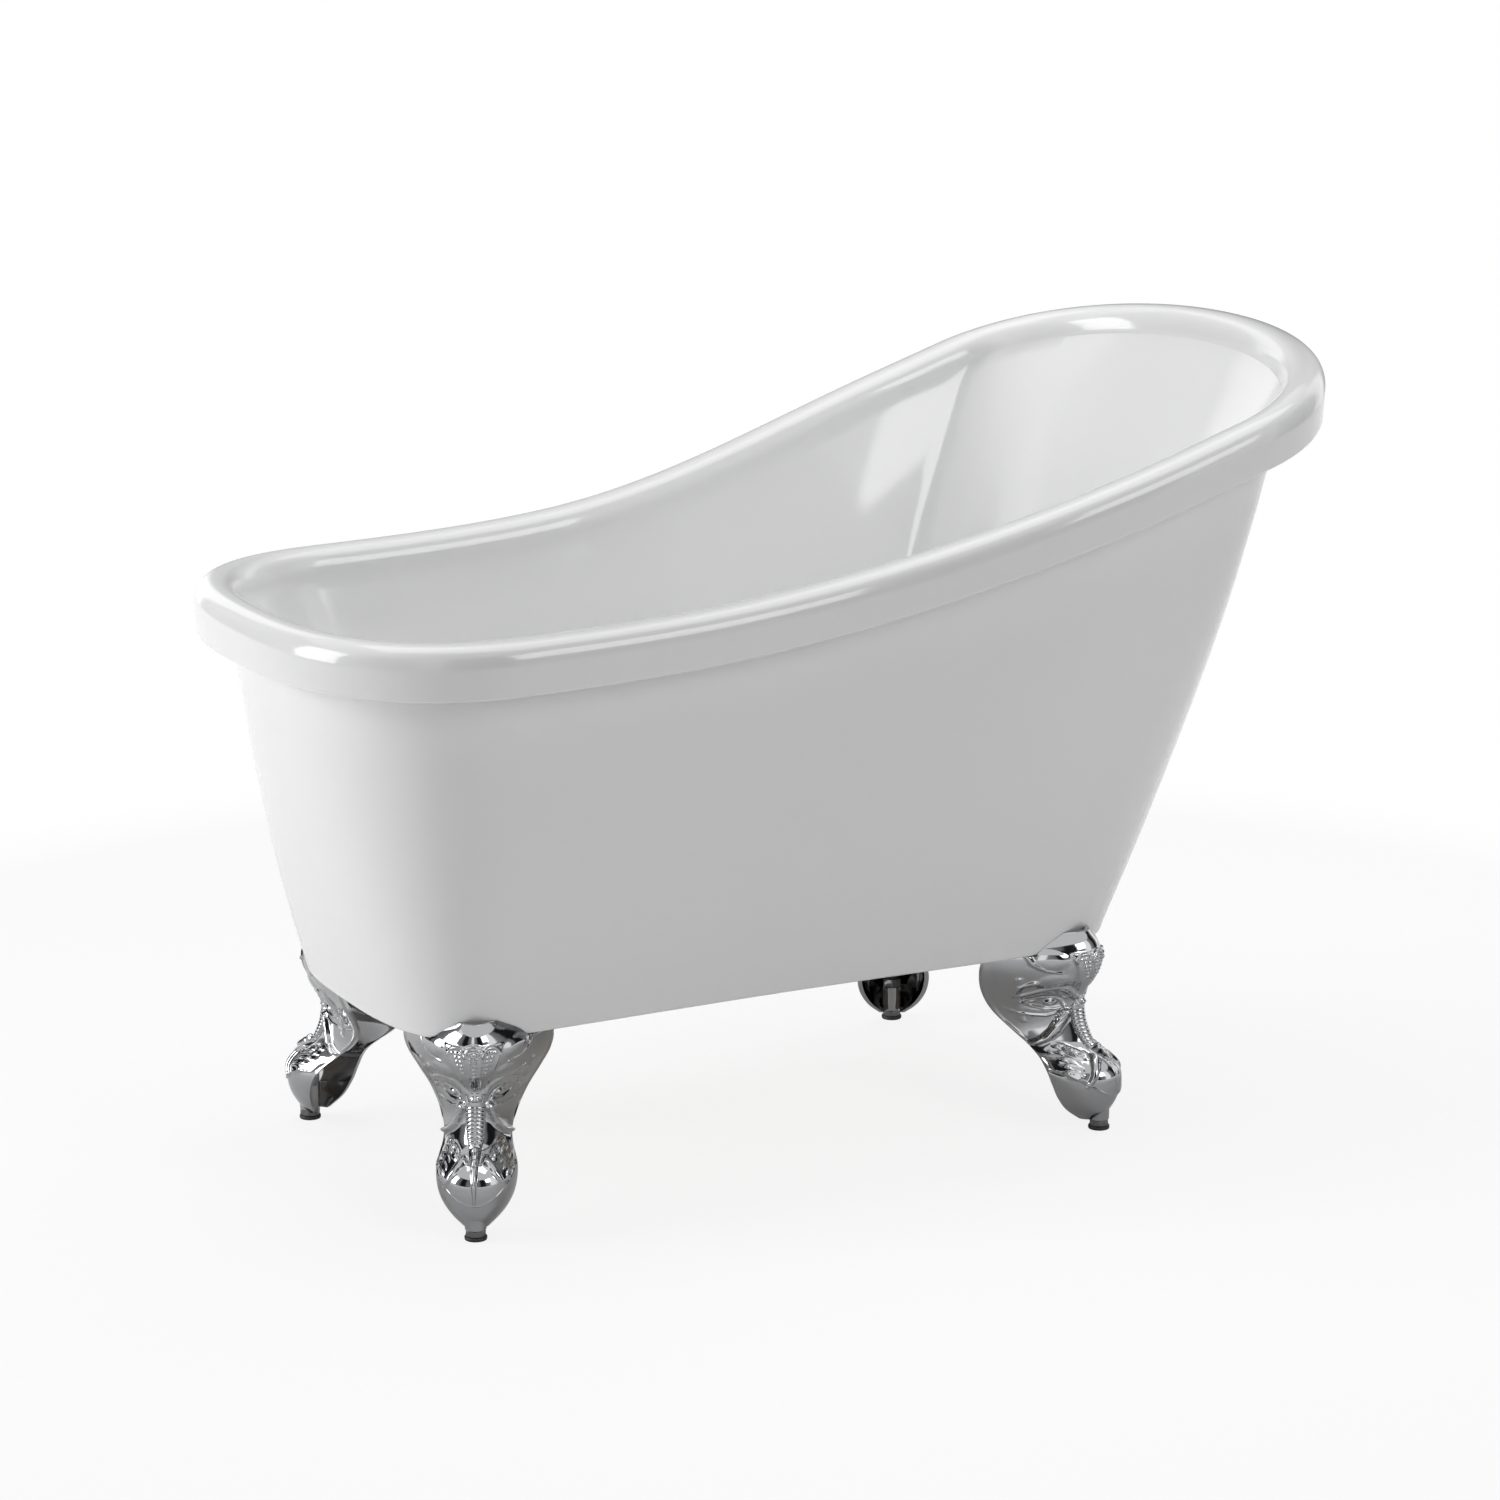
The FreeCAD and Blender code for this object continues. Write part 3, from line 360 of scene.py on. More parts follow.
def torus_faces(rows, columns):
    """Quads of a grid that closes in both directions."""
    index = np.arange(rows * columns).reshape(rows, columns)
    below = np.roll(index, -1, 0)
    return np.stack([index, below, np.roll(below, -1, 1), np.roll(index, -1, 1)], -1).reshape(-1, 4)


def section_ring(name, profile, smooth_angle):
    """A closed ring through the sections' profiles in millimetres, each closed and anticlockwise as seen
    along the outline's run."""
    return new_mesh(name, profile.reshape(-1, 3) * mm, torus_faces(*profile.shape[:2]), smooth_angle)


aim = np.arctan2(basin_line[:, 1], basin_line[:, 0] - waste_x)
ray = np.stack([np.cos(aim), np.sin(aim)], 1)


def round_waste(radius, z):
    """Points on a circle about the waste's axis at height z, each toward its own section of the wall."""
    return np.column_stack([np.array([waste_x, 0]) + ray * radius, np.full(len(ray), z)])


hole_top = round_waste(waste_hole_radius, recess_top)
hole_under = round_waste(waste_hole_radius, basin_under)
recess_foot = round_waste(recess_radius, recess_top)
recess_edge = round_waste(recess_radius + recess_depth, floor_low)
flat, corner, middle, top = wall_poles(0.0, floor_z)
flat_b, corner_b, middle_b, top_b = wall_poles(shell_wall, basin_under)
shoulder = by_rim(roll_outer, lip_drop * lip_shoulder)
shoulder_b = by_rim(roll_outer - shell_wall, lip_drop * lip_shoulder)
lip = by_rim(roll_outer - lip_lean, lip_drop - lip_edge)
lip_b = by_rim(roll_outer - lip_lean - shell_wall, lip_drop - lip_edge)
# From the waste hole up the wall, over the roll, round the lip's edge and back under: plain numbers are
# the poles' offsets from the rim line with their drops from the crest, then the count of steps
basin_profile = np.concatenate([
    straight(hole_top, recess_foot, 3),
    straight(recess_foot, recess_edge, 3),
    straight(recess_edge, flat, 22),
    bezier((flat, corner, middle, top), 56),
    bezier((top, by_rim(-roll_inner - 1, 9), by_rim(-12, 0), by_rim(0, 0)), 16),
    bezier((by_rim(0, 0), by_rim(11, 0), by_rim(roll_outer, 5), shoulder), 18),
    straight(shoulder, lip, 8),
    bezier((lip, by_rim(roll_outer - lip_lean, lip_drop + 0.4),
            by_rim(roll_outer - lip_lean - shell_wall, lip_drop + 0.4), lip_b), 6),
    straight(lip_b, shoulder_b, 5),
    bezier((shoulder_b, by_rim(roll_outer - shell_wall, 10), by_rim(9, shell_wall),
            by_rim(0, shell_wall)), 8),
    bezier((by_rim(0, shell_wall), by_rim(-9, shell_wall), by_rim(shell_wall - roll_inner, 13), top_b), 8),
    bezier((top_b, middle_b, corner_b, flat_b), 18),
    straight(flat_b, hole_under, 6),
    straight(hole_under, hole_top, 2),
], axis=1)
inner_shell = section_ring("basin_and_rim", basin_profile[:, ::-1], 35)


def surface_group(name):
    """A node group that every finish here uses: fine bumps from noise, a colour that drifts a little, and a
    roughness that drifts with it. Inputs: Color, Drift, Roughness, Spread, Scale, Bump."""
    group = bpy.data.node_groups.new(name, "ShaderNodeTree")
    face = group.interface
    face.new_socket("Color", in_out="INPUT", socket_type="NodeSocketColor")
    for label in ("Drift", "Roughness", "Spread", "Scale", "Bump"):
        face.new_socket(label, in_out="INPUT", socket_type="NodeSocketFloat")
    face.new_socket("Color", in_out="OUTPUT", socket_type="NodeSocketColor")
    face.new_socket("Roughness", in_out="OUTPUT", socket_type="NodeSocketFloat")
    face.new_socket("Normal", in_out="OUTPUT", socket_type="NodeSocketVector")
    given = group.nodes.new("NodeGroupInput").outputs
    result = group.nodes.new("NodeGroupOutput").inputs
    place = add_node(group, "TexCoord").outputs["Object"]
    broad = add_node(group, "TexNoise", {"Vector": place, "Scale": 3.0, "Detail": 3.0})
    fine = add_node(group, "TexNoise", {"Vector": place, "Scale": given["Scale"], "Detail": 2.0})
    centred = add_math(group, "SUBTRACT", broad.outputs["Fac"], 0.5)
    drift = add_math(group, "MULTIPLY_ADD", centred, given["Drift"], 1.0)
    rough = add_math(group, "MULTIPLY_ADD", centred, given["Spread"], given["Roughness"])
    tint = add_node(group, "VectorMath", {0: given["Color"], "Scale": drift}, "SCALE")
    bump = add_node(group, "Bump", {"Strength": given["Bump"], "Distance": 0.001,
                                    "Height": fine.outputs["Fac"]})
    group.links.new(tint.outputs[0], result["Color"])
    group.links.new(rough, result["Roughness"])
    group.links.new(bump.outputs["Normal"], result["Normal"])
    return group


surface = surface_group("surface_drift")


def finish(name, color, drift, roughness, spread, scale, bump, metallic=0.0, ior=1.5):
    """A material with the shared surface group: its colour and how far that drifts, its roughness and how
    far that spreads, the scale and strength of its fine bumps, and whether it is metal."""
    material = bpy.data.materials.new(name)
    tree = start_tree(material)
    group = tree.nodes.new("ShaderNodeGroup")
    group.node_tree = surface
    for label, value in (("Color", (*color, 1.0)), ("Drift", drift), ("Roughness", roughness),
                         ("Spread", spread), ("Scale", scale), ("Bump", bump)):
        group.inputs[label].default_value = value
    made = group.outputs
    bsdf = add_node(tree, "BsdfPrincipled", {"Base Color": made["Color"], "Roughness": made["Roughness"],
                                             "Normal": made["Normal"], "Metallic": metallic, "IOR": ior})
    add_node(tree, "OutputMaterial", {"Surface": bsdf.outputs[0]})
    return material


white_acrylic = finish("white_acrylic", (0.86, 0.865, 0.862), 0.02, 0.09, 0.04, 60.0, 0.012, ior=1.49)
inner_shell.data.materials.append(white_acrylic)
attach(inner_shell, "bath")
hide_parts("inner_shell")

# ---------------------------------------------------------------- outer shell
# The tapered outer skin is a second acrylic sheet. It leans in under the lip, bellies out a little on its
# way down, and turns in at the bottom as a narrow flange around the base board.
body_clearance = 171.0
body_bow = 0.42
shoulder_drop = 110.0
tuck_drop = 32.0
bottom_corner = 5.0
corner_z = body_clearance + bottom_corner
flange_width = 14.0
skin_thickness = 4.0
shoulder_inset = (20.0, 35.0)   # inside the rim line at the sides, and how much more at the head
tuck_inset = (6.0, 3.0)
side_shares = (0.2, 0.4, 0.6, 0.8, 1.0)
tuck_shares = ((0.45, 0.40), (0.78, 0.76), (1.0, 1.0))      # of the height and of the lean
corner_pole = 1.8


def through(points, count):
    """Catmull-Rom curve through each section's points, with count steps between two points: a cubic whose
    slope at a point is half the run between the two beside it."""
    stack = np.stack(points, 1)
    ends = np.concatenate([2 * stack[:, :1] - stack[:, 1:2], stack, 2 * stack[:, -1:] - stack[:, -2:-1]], 1)
    spans = []
    t = np.linspace(0, 1, count, endpoint=False)[None, :, None]
    for span in range(len(points) - 1):
        a, b, c, d = [ends[:, span + k][:, None] for k in range(4)]
        spans.append(b + 0.5 * t * (c - a + t * (2 * a - 5 * b + 4 * c - d + t * (3 * (b - c) + d - a))))
    spans.append(stack[:, -1:])
    return np.concatenate(spans, 1)


def skin_line(inset, low):
    """The skin's side from its bottom corner to its tucked-in top, moved inward by inset. Up to the shoulder
    it leans out by the share of its height plus the bow times share times (1 - share), then by set shares."""
    foot = beside(body_line, body_normals, -inset, low)
    shoulder = by_rim(-(shoulder_inset[0] + shoulder_inset[1] * headness) - inset, shoulder_drop)
    tuck = by_rim(-(tuck_inset[0] + tuck_inset[1] * headness) - inset, tuck_drop)
    points = [foot]
    for share in side_shares:
        bowed = share + body_bow * share * (1 - share)
        level = foot + (shoulder - foot) * bowed
        level[:, 2] = corner_z + (shoulder[:, 2] - corner_z) * share
        points.append(level)
    for share, lean in tuck_shares:
        level = shoulder + (tuck - shoulder) * lean
        level[:, 2] = shoulder[:, 2] + (tuck[:, 2] - shoulder[:, 2]) * share
        points.append(level)
    return points


outside = skin_line(0.0, corner_z)
inside = skin_line(skin_thickness, body_clearance + skin_thickness)
low_corner = beside(body_line, body_normals, -bottom_corner, body_clearance)
flange_low = beside(body_line, body_normals, -flange_width, body_clearance)
flange_high = beside(body_line, body_normals, -flange_width, body_clearance + skin_thickness)
skin_profile = np.concatenate([
    straight(flange_low, low_corner, 3),
    bezier((low_corner, beside(body_line, body_normals, -corner_pole, body_clearance),
            beside(body_line, body_normals, -0.2, body_clearance + corner_pole), outside[0]), 7),
    through(outside, 12),
    through(inside, 5)[:, ::-1],
    straight(inside[0], flange_high, 3),
    straight(flange_high, flange_low, 2),
], axis=1)
outer_shell = section_ring("outer_skin", skin_profile, 40)
outer_shell.data.materials.append(white_acrylic)
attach(outer_shell, "bath")
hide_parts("outer_shell")

# ---------------------------------------------------------------- feet
# Four cast and plated claw feet, hollow behind: a beaded headdress, brows and eyes over a ribbed trunk and
# two tusks, and a paw that grips a ball. Each is bolted up through its inner ledge, under the body.
casting_wall = 4.5
# Height, half width, front and back reach outward from the leveller, fullness at the sides and the nose
foot_levels = np.array([
    (10, 12.5, 2, -14, 2, 2), (19, 22.5, 9, -21, 2, 2), (32, 31.5, 16, -26, 2, 2),
    (47, 35.5, 18.5, -31, 2, 2), (60, 35, 15.5, -38, 2, 2), (70, 31.5, 4, -48, 2, 1.7),
    (79, 30, -10, -60, 1.8, 1.4), (91, 32.5, -18, -76, 1.6, 1.2), (110, 42, -23, -93, 1.5, 1.1),
    (129, 54, -20, -97, 1.6, 1.1), (146, 63, -10, -95, 1.8, 1.1), (160, 66, -5, -92, 1.8, 1.1),
    (171, 64, -5, -88, 1.8, 1.1), (181, 52, -8.5, -76, 1.8, 1.1), (190, 34, -16, -60, 1.8, 1.1)])
foot_turn = math.radians(28)    # each foot points off square, toward its end
foot_rows = 300
foot_columns = 220
boss_radius = 9.5
boss_top = 34.0
leveller_bore = 5.08
ledge_low = 161.4
ledge_thickness = 6.0
ledge_reach = 72.0
bolt_back = 60.0                # leveller line to the line of the two fixing bolts
bolt_side = 18.0
bolt_hole = 4.4
seat_gap = 0.4                  # between each foot and the skin that it is trimmed to


def foot_form(z):
    """Half width, front, back and the two fullness values at heights z, by a Hermite cubic between levels
    with the slopes of the levels beside them."""
    level = foot_levels[:, 0]
    value = foot_levels[:, 1:]
    slope = np.gradient(value, level, axis=0)
    low = np.clip(np.searchsorted(level, z) - 1, 0, len(level) - 2)
    step = (level[low + 1] - level[low])[:, None]
    t = (z - level[low])[:, None] / step
    start = (2 * t ** 3 - 3 * t ** 2 + 1) * value[low] + (t ** 3 - 2 * t ** 2 + t) * step * slope[low]
    return start + (3 * t ** 2 - 2 * t ** 3) * value[low + 1] + (t ** 3 - t ** 2) * step * slope[low + 1]


def foot_grid(rows, columns, wall):
    """The bent shell: at each height a superellipse's front half, moved inward by wall."""
    z = np.linspace(foot_levels[0, 0], foot_levels[-1, 0], rows + 1)
    half, front, back, side_full, nose_full = foot_form(z).T[:, :, None]
    angle = np.linspace(-np.pi / 2, np.pi / 2, columns + 1)[None, :]
    across = np.sign(angle) * np.abs(np.sin(angle)) ** (2 / side_full)
    along = np.cos(angle).clip(0) ** (2 / nose_full)
    x = back + (front - wall - back) * along
    return np.stack([x, (half - wall) * across, np.broadcast_to(z[:, None], x.shape)], -1)


def stroke(s, z, line, wide, high):
    """A raised line along straight runs: its height times e^(-0.7 (distance / width)^4), where both run
    evenly from their first to their last value."""
    best = np.full(s.shape, 1e9)
    share = np.zeros(s.shape)
    runs = len(line) - 1
    for index in range(runs):
        s0, z0 = line[index]
        run_s = line[index + 1][0] - s0
        run_z = line[index + 1][1] - z0
        t = (((s - s0) * run_s + (z - z0) * run_z) / (run_s ** 2 + run_z ** 2)).clip(0, 1)
        gap = np.hypot(s - s0 - t * run_s, z - z0 - t * run_z)
        near = gap < best
        best = np.where(near, gap, best)
        share = np.where(near, (index + t) / runs, share)
    width = wide[0] + (wide[1] - wide[0]) * share
    height = high[0] + (high[1] - high[0]) * share
    return height * np.exp(-(best / width) ** 4 * 0.7)


def mound(s, z, place, reach, high):
    """A round swelling inside its reach: with q the squared distance over the reach, its height times
    (1 - q)^2 (1 + 2 q)."""
    span = ((s - place[0]) / reach[0]) ** 2 + ((z - place[1]) / reach[1]) ** 2
    return high * (1 - span).clip(0) ** 2 * (1 + 2 * span.clip(0, 1))


def arch(s, z, centre, radius, wide, high):
    """A raised half circle above its centre, with the same bell of the distance to it as a stroke's."""
    gap = np.abs(np.hypot(s - centre[0], z - centre[1]) - radius)
    above = ((z - centre[1]) / 2 + 1).clip(0, 1)
    return high * np.exp(-(gap / wide) ** 4 * 0.7) * above


headdress_top = 164.5
panel_height = 1.3
petal_pitch = 14.2
petal_radius = 6.8
bead_pitch = 3.6
bead_radius = 1.45
bead_height = 1.3
# The face's forms are placed in millimetres: sideways from its middle, then up from the floor. Strokes
# have their line, their first and last width and their first and last height.
headdress_strokes = (
    (((22.5, 167), (17.5, 152), (12, 137), (7, 124), (3.5, 118)), (0.9, 0.8), (1.3, 1.0)),
    (((7.2, 163), (5.4, 150), (3.0, 138)), (0.8, 0.5), (1.0, 0.4)))


def headdress(s, z):
    """Three arched petals whose panels narrow downward, with beads in shrinking rows, inside a raised V
    whose lower third is bare: a panel within soft steps, plus strokes, arches and mounds."""
    a = np.abs(s)
    edge = 4.0 + 18.5 * ((z - 120) / 44).clip(0, 1.15)
    high = soft_step((edge - a) / 1.2) * soft_step((z - 118) / 5) * soft_step((174 - z) / 3) * panel_height
    for line in headdress_strokes:
        high += stroke(a, z, *line)
    for petal in (-1, 0, 1):
        middle = petal * petal_pitch
        high += arch(s, z, (middle, headdress_top), petal_radius, 0.95, 1.6)
        rows = 7 if petal == 0 else 6
        for row in range(rows):
            bead_z = headdress_top + 2.2 - row * bead_pitch
            lean = middle * (1 - row * bead_pitch / 50)
            room = 4.6 * (1 - row / (rows + 0.5))
            count = max(int(room * 2 / bead_pitch + 0.7), 1)
            for bead in range(count):
                place = lean + (bead - (count - 1) / 2) * bead_pitch
                high += mound(s, z, (place, bead_z), (bead_radius, bead_radius), bead_height)
    return high + arch(s, z, (0, headdress_top), petal_radius + 3.2, 0.8, 0.8)


trunk_heights = (66.0, 74.0, 84.0, 96.0, 108.0, 118.0, 127.0)
trunk_half = (2.6, 4.4, 6.6, 7.4, 7.8, 8.0, 6.6)
trunk_rise = (2.6, 4.2, 5.6, 5.8, 5.4, 4.0, 0.6)
rib_pitch = 3.7


def trunk(s, z):
    """A rounded ridge, its height times (1 - q^2)^0.4 with q the share of its half width, cut by bowed ribs
    (a squared cosine of the height) and with a channel along each side."""
    half = np.interp(z, trunk_heights, trunk_half)
    rise_here = np.interp(z, trunk_heights, trunk_rise, left=0.0, right=0.0)
    span = (s / half) ** 2
    body = rise_here * (1 - span).clip(0) ** 0.4
    ribbed = soft_step((116 - z) / 3) * soft_step((z - 68) / 4)
    groove = (0.5 + 0.5 * np.cos(2 * np.pi * (z + 0.045 * s * s) / rib_pitch)) ** 2
    channel = -1.1 * np.exp(-((np.abs(s) - half - 1.3) / 1.2) ** 2) * ribbed
    return body * (1 - 0.16 * groove * ribbed) + channel


brow = (((8, 127), (13, 132), (19, 136), (26, 137.5), (32, 135), (38, 129)), (2.6, 1.5), (2.2, 1.2))
# Socket, eyeball, pupil, the eye's outer corner, temple, forehead and the knob over the trunk
face_mounds = (((24, 121), (14, 9), -2.2), ((21.5, 120.5), (4.4, 4.2), 3.2),
               ((21.5, 120.8), (1.3, 1.3), -1.0), ((31, 121), (1.9, 1.7), 1.3), ((36.5, 166), (12, 11), 2.2),
               ((30, 145), (13, 9), 1.5), ((0, 121.5), (3.0, 3.0), 1.9))
# Upper and lower lid, ear, cheek fold, crease over the tusk and the curl beside the headdress
face_strokes = (
    (((12.5, 117), (16.5, 123), (22, 126.2), (29, 125.5), (36, 122)), (0.9, 0.8), (1.8, 0.9)),
    (((12.5, 117), (17, 114.8), (23, 114.2), (29.5, 116.5), (36, 122)), (0.9, 0.8), (1.5, 0.8)),
    (((41, 143), (44.5, 139), (44.5, 133), (41, 127.5)), (2.2, 1.1), (2.0, 1.2)),
    (((49, 147), (45, 137), (39.5, 127), (33, 112), (30, 101)), (1.5, 1.1), (1.3, 0.8)),
    (((40, 114), (34, 110), (28, 107.8), (21, 107.5), (15, 111)), (1.0, 0.9), (0.3, 1.3)),
    (((50, 175), (46.5, 163), (39, 156.5), (29.5, 154)), (1.3, 1.0), (1.5, 1.0)))


def face_relief(s, z):
    """Hatched brows, eyes in almond lids, folds of the cheeks and creases, the same on both sides: the sum
    of their mounds and strokes."""
    a = np.abs(s)
    hatch = 1 + 0.10 * np.cos(2 * np.pi * (a - 0.5 * z) / 2.2) * soft_step((22 - a) / 4)
    high = stroke(a, z, *brow) * hatch
    for line in face_strokes:
        high += stroke(a, z, *line)
    for swelling in face_mounds:
        high += mound(a, z, *swelling)
    return high


def tusks(s, z):
    """Two tapering strokes that splay outward and down, with fine lines along them from a cosine across."""
    a = np.abs(s)
    line = ((11.5, 111), (14, 102), (17.5, 94), (22.5, 87), (28.5, 81))
    fine = 1 - 0.08 * (0.5 + 0.5 * np.cos(2 * np.pi * (a * 0.85 + z * 0.52) / 2.1))
    high = stroke(a, z, line, (3.2, 1.2), (5.0, 4.6)) * fine
    return high - mound(a, z, (28, 98), (8, 9), 1.8)


knuckle = (17.5, 74.5)
# The middle toe, the side toes and the outer edge of the paw
paw_strokes = ((((0, 75), (0, 66), (0, 56), (0, 46), (0, 39)), (2.6, 0.9), (3.8, 1.8)),
               (((9.5, 71), (14, 67), (20, 60), (24.5, 52), (26, 47)), (2.3, 0.9), (3.4, 1.6)),
               (((20, 79), (25, 73), (28.5, 65), (30.5, 56)), (4.0, 2.4), (1.2, 0.8)))


def paw(s, z):
    """Toes with long claws over a ball as strokes, scales as arches with mounds, ringed knuckles, and the
    paw's edge as a low soft step on the ball that rises with the square of the sideways place."""
    a = np.abs(s)
    edge = 35 + 0.020 * s * s
    high = 0.9 * soft_step(z - edge) * soft_step((74 - z) / 6)
    high += 0.5 * np.exp(-((z - edge - 1.2) / 0.8) ** 2)
    for line in paw_strokes:
        high += stroke(a, z, *line)
    for scale in range(5):
        place = (20.0 + 2.4 * scale, 78.0 - 4.9 * scale)
        high += arch(a, z, place, 2.6, 0.6, 0.7)
        high += mound(a, z, (place[0] + 3.2, place[1] + 1.0), (1.4, 1.4), 0.5)
    high += mound(a, z, knuckle, (5.4, 5.4), 2.0)
    for ring_radius in (2.0, 4.2):
        gap = np.abs(np.hypot(a - knuckle[0], z - knuckle[1]) - ring_radius)
        high += 0.6 * np.exp(-(gap / 0.7) ** 2)
    return high


def foot_relief(s, z):
    """All raised forms on the face, in millimetres, by sideways place and height."""
    return headdress(s, z) + face_relief(s, z) + np.maximum(trunk(s, z), tusks(s, z)) + paw(s, z)


def stitched(border, inner, flip):
    """Triangles between a border and one with half as many steps."""
    a, b, c = border[:-1:2], border[1::2], border[2::2]
    p, q = inner[:-1], inner[1:]
    faces = np.concatenate([np.stack([a, b, p], 1), np.stack([b, c, q], 1), np.stack([b, q, p], 1)])
    return (faces[:, ::-1] if flip else faces).tolist()


def grid_faces(rows, columns, start, flip):
    """The numbers of a grid's points, counted from start, and its quads."""
    index = start + np.arange((rows + 1) * (columns + 1)).reshape(rows + 1, columns + 1)
    quads = np.stack([index[:-1, :-1], index[:-1, 1:], index[1:, 1:], index[1:, :-1]], -1).reshape(-1, 4)
    return index, (quads[:, ::-1] if flip else quads).tolist()


def foot_shell():
    """Points and faces of the casting in its own frame: the carved face, the plain back and the edges. The
    face moves along its normals by the relief, which soft steps fade out at its edges, plus an edge bead."""
    face = foot_grid(foot_rows, foot_columns, 0.0)
    normal = np.cross(np.gradient(face, axis=1), np.gradient(face, axis=0))
    normal /= np.linalg.norm(normal, axis=-1)[..., None]
    angle = np.abs(np.linspace(-90, 90, foot_columns + 1))[None, :]
    s, z = face[..., 1], face[..., 2]
    fade = soft_step((88 - angle) / 10) * soft_step((z - 12) / 8) * soft_step((190 - z) / 2)
    edge_bead = 1.3 * np.exp(-((angle - 80) / 4) ** 2) * soft_step((z - 82) / 10)
    face = face + normal * (foot_relief(s, z) * fade + edge_bead)[..., None]
    back = foot_grid(foot_rows // 2, foot_columns // 2, casting_wall)
    outer, faces = grid_faces(foot_rows, foot_columns, 0, False)
    inner, more = grid_faces(foot_rows // 2, foot_columns // 2, outer.size, True)
    faces += more
    faces += stitched(outer[0], inner[0], True)
    faces += stitched(outer[-1], inner[-1], False)
    faces += stitched(outer[:, 0], inner[:, 0], False)
    faces += stitched(outer[:, -1], inner[:, -1], True)
    return np.concatenate([face.reshape(-1, 3), back.reshape(-1, 3)]), faces


def stacked(rings, levels):
    """Points and faces of a block through anticlockwise outlines at rising levels, which closes with fans
    about the first outline's middle."""
    count = len(rings[0])
    top = count * (len(rings) - 1)
    middle = rings[0].mean(0)
    points = [np.c_[ring, np.full(count, level)] for ring, level in zip(rings, levels)]
    points.append([(*middle, levels[0]), (*middle, levels[-1])])
    index = np.arange(count)
    after = (index + 1) % count
    faces = []
    for row in range(0, top, count):
        faces += np.stack([index + row, after + row, after + row + count, index + row + count], 1).tolist()
    faces += np.stack([after, index, np.full(count, top + count)], 1).tolist()
    faces += np.stack([index + top, after + top, np.full(count, top + count + 1)], 1).tolist()
    return np.concatenate(points), faces


def prism(outline, low, high):
    """An upright block on an anticlockwise outline."""
    return stacked((outline, outline), (low, high))


def joined(blocks):
    """One list of points and one of faces from several blocks."""
    faces = []
    start = 0
    for block_points, block_faces in blocks:
        faces += [[start + corner for corner in face] for face in block_faces]
        start += len(block_points)
    return np.concatenate([block[0] for block in blocks]), faces


def combine(piece, tool, operation):
    """Joins one closed mesh to another or cuts it away, then deletes the tool."""
    change = piece.modifiers.new(operation, "BOOLEAN")
    change.operation = operation
    change.solver = "MANIFOLD"
    change.object = tool
    bpy.context.view_layer.update()
    result = bpy.data.meshes.new_from_object(piece.evaluated_get(bpy.context.evaluated_depsgraph_get()))
    piece.modifiers.clear()
    piece.data = result
    bpy.data.objects.remove(tool)


def resurface(piece, smooth_angle, paint):
    """Smooths all faces of a cut piece below the angle and gives it one finish."""
    piece.data.shade_smooth()
    piece.data.set_sharp_from_angle(angle=math.radians(smooth_angle))
    piece.data.materials.clear()
    piece.data.materials.append(paint)


def ledge_block():
    """The fixing ledge: a slab between the casting's wall, by the superellipse's formula, and a straight
    inner edge."""
    half, front, back, side_full, nose_full = foot_form(np.full(1, ledge_low))[0]
    reach_share = ((front + ledge_reach) / (front - back)) ** (1 / side_full)
    side = np.linspace(-1, 1, 21) * (half - casting_wall / 2) * reach_share
    x = back + (front - back) * (1 - (np.abs(side) / half) ** side_full) ** (1 / nose_full)
    return prism(np.stack([x - casting_wall * 0.7, side], 1), ledge_low, ledge_low + ledge_thickness)


def trim_block():
    """The body's lower part, grown by the seat gap, as a block that trims each foot to its corner. It goes
    up past the foot by the skin's own lean and bow."""
    line = skin_line(-seat_gap, corner_z)
    foot, shoulder = line[0], line[len(side_shares)]
    top_z = foot_levels[-1, 0] + 10
    share = ((top_z - foot[:, 2]) / (shoulder[:, 2] - foot[:, 2]))[:, None]
    high = foot + (shoulder - foot) * (share + body_bow * share * (1 - share))
    rings = (foot[:, :2], foot[:, :2], high[:, :2])
    return stacked(rings, (body_clearance - seat_gap, corner_z, top_z))


def stand(points, place, turn_here):
    """Points about the leveller's axis, turned and moved to their corner, in metres."""
    x = place[0] + points[:, 0] * math.cos(turn_here) - points[:, 1] * math.sin(turn_here)
    y = place[1] + points[:, 0] * math.sin(turn_here) + points[:, 1] * math.cos(turn_here)
    return np.stack([x, y, points[:, 2]], 1) * mm


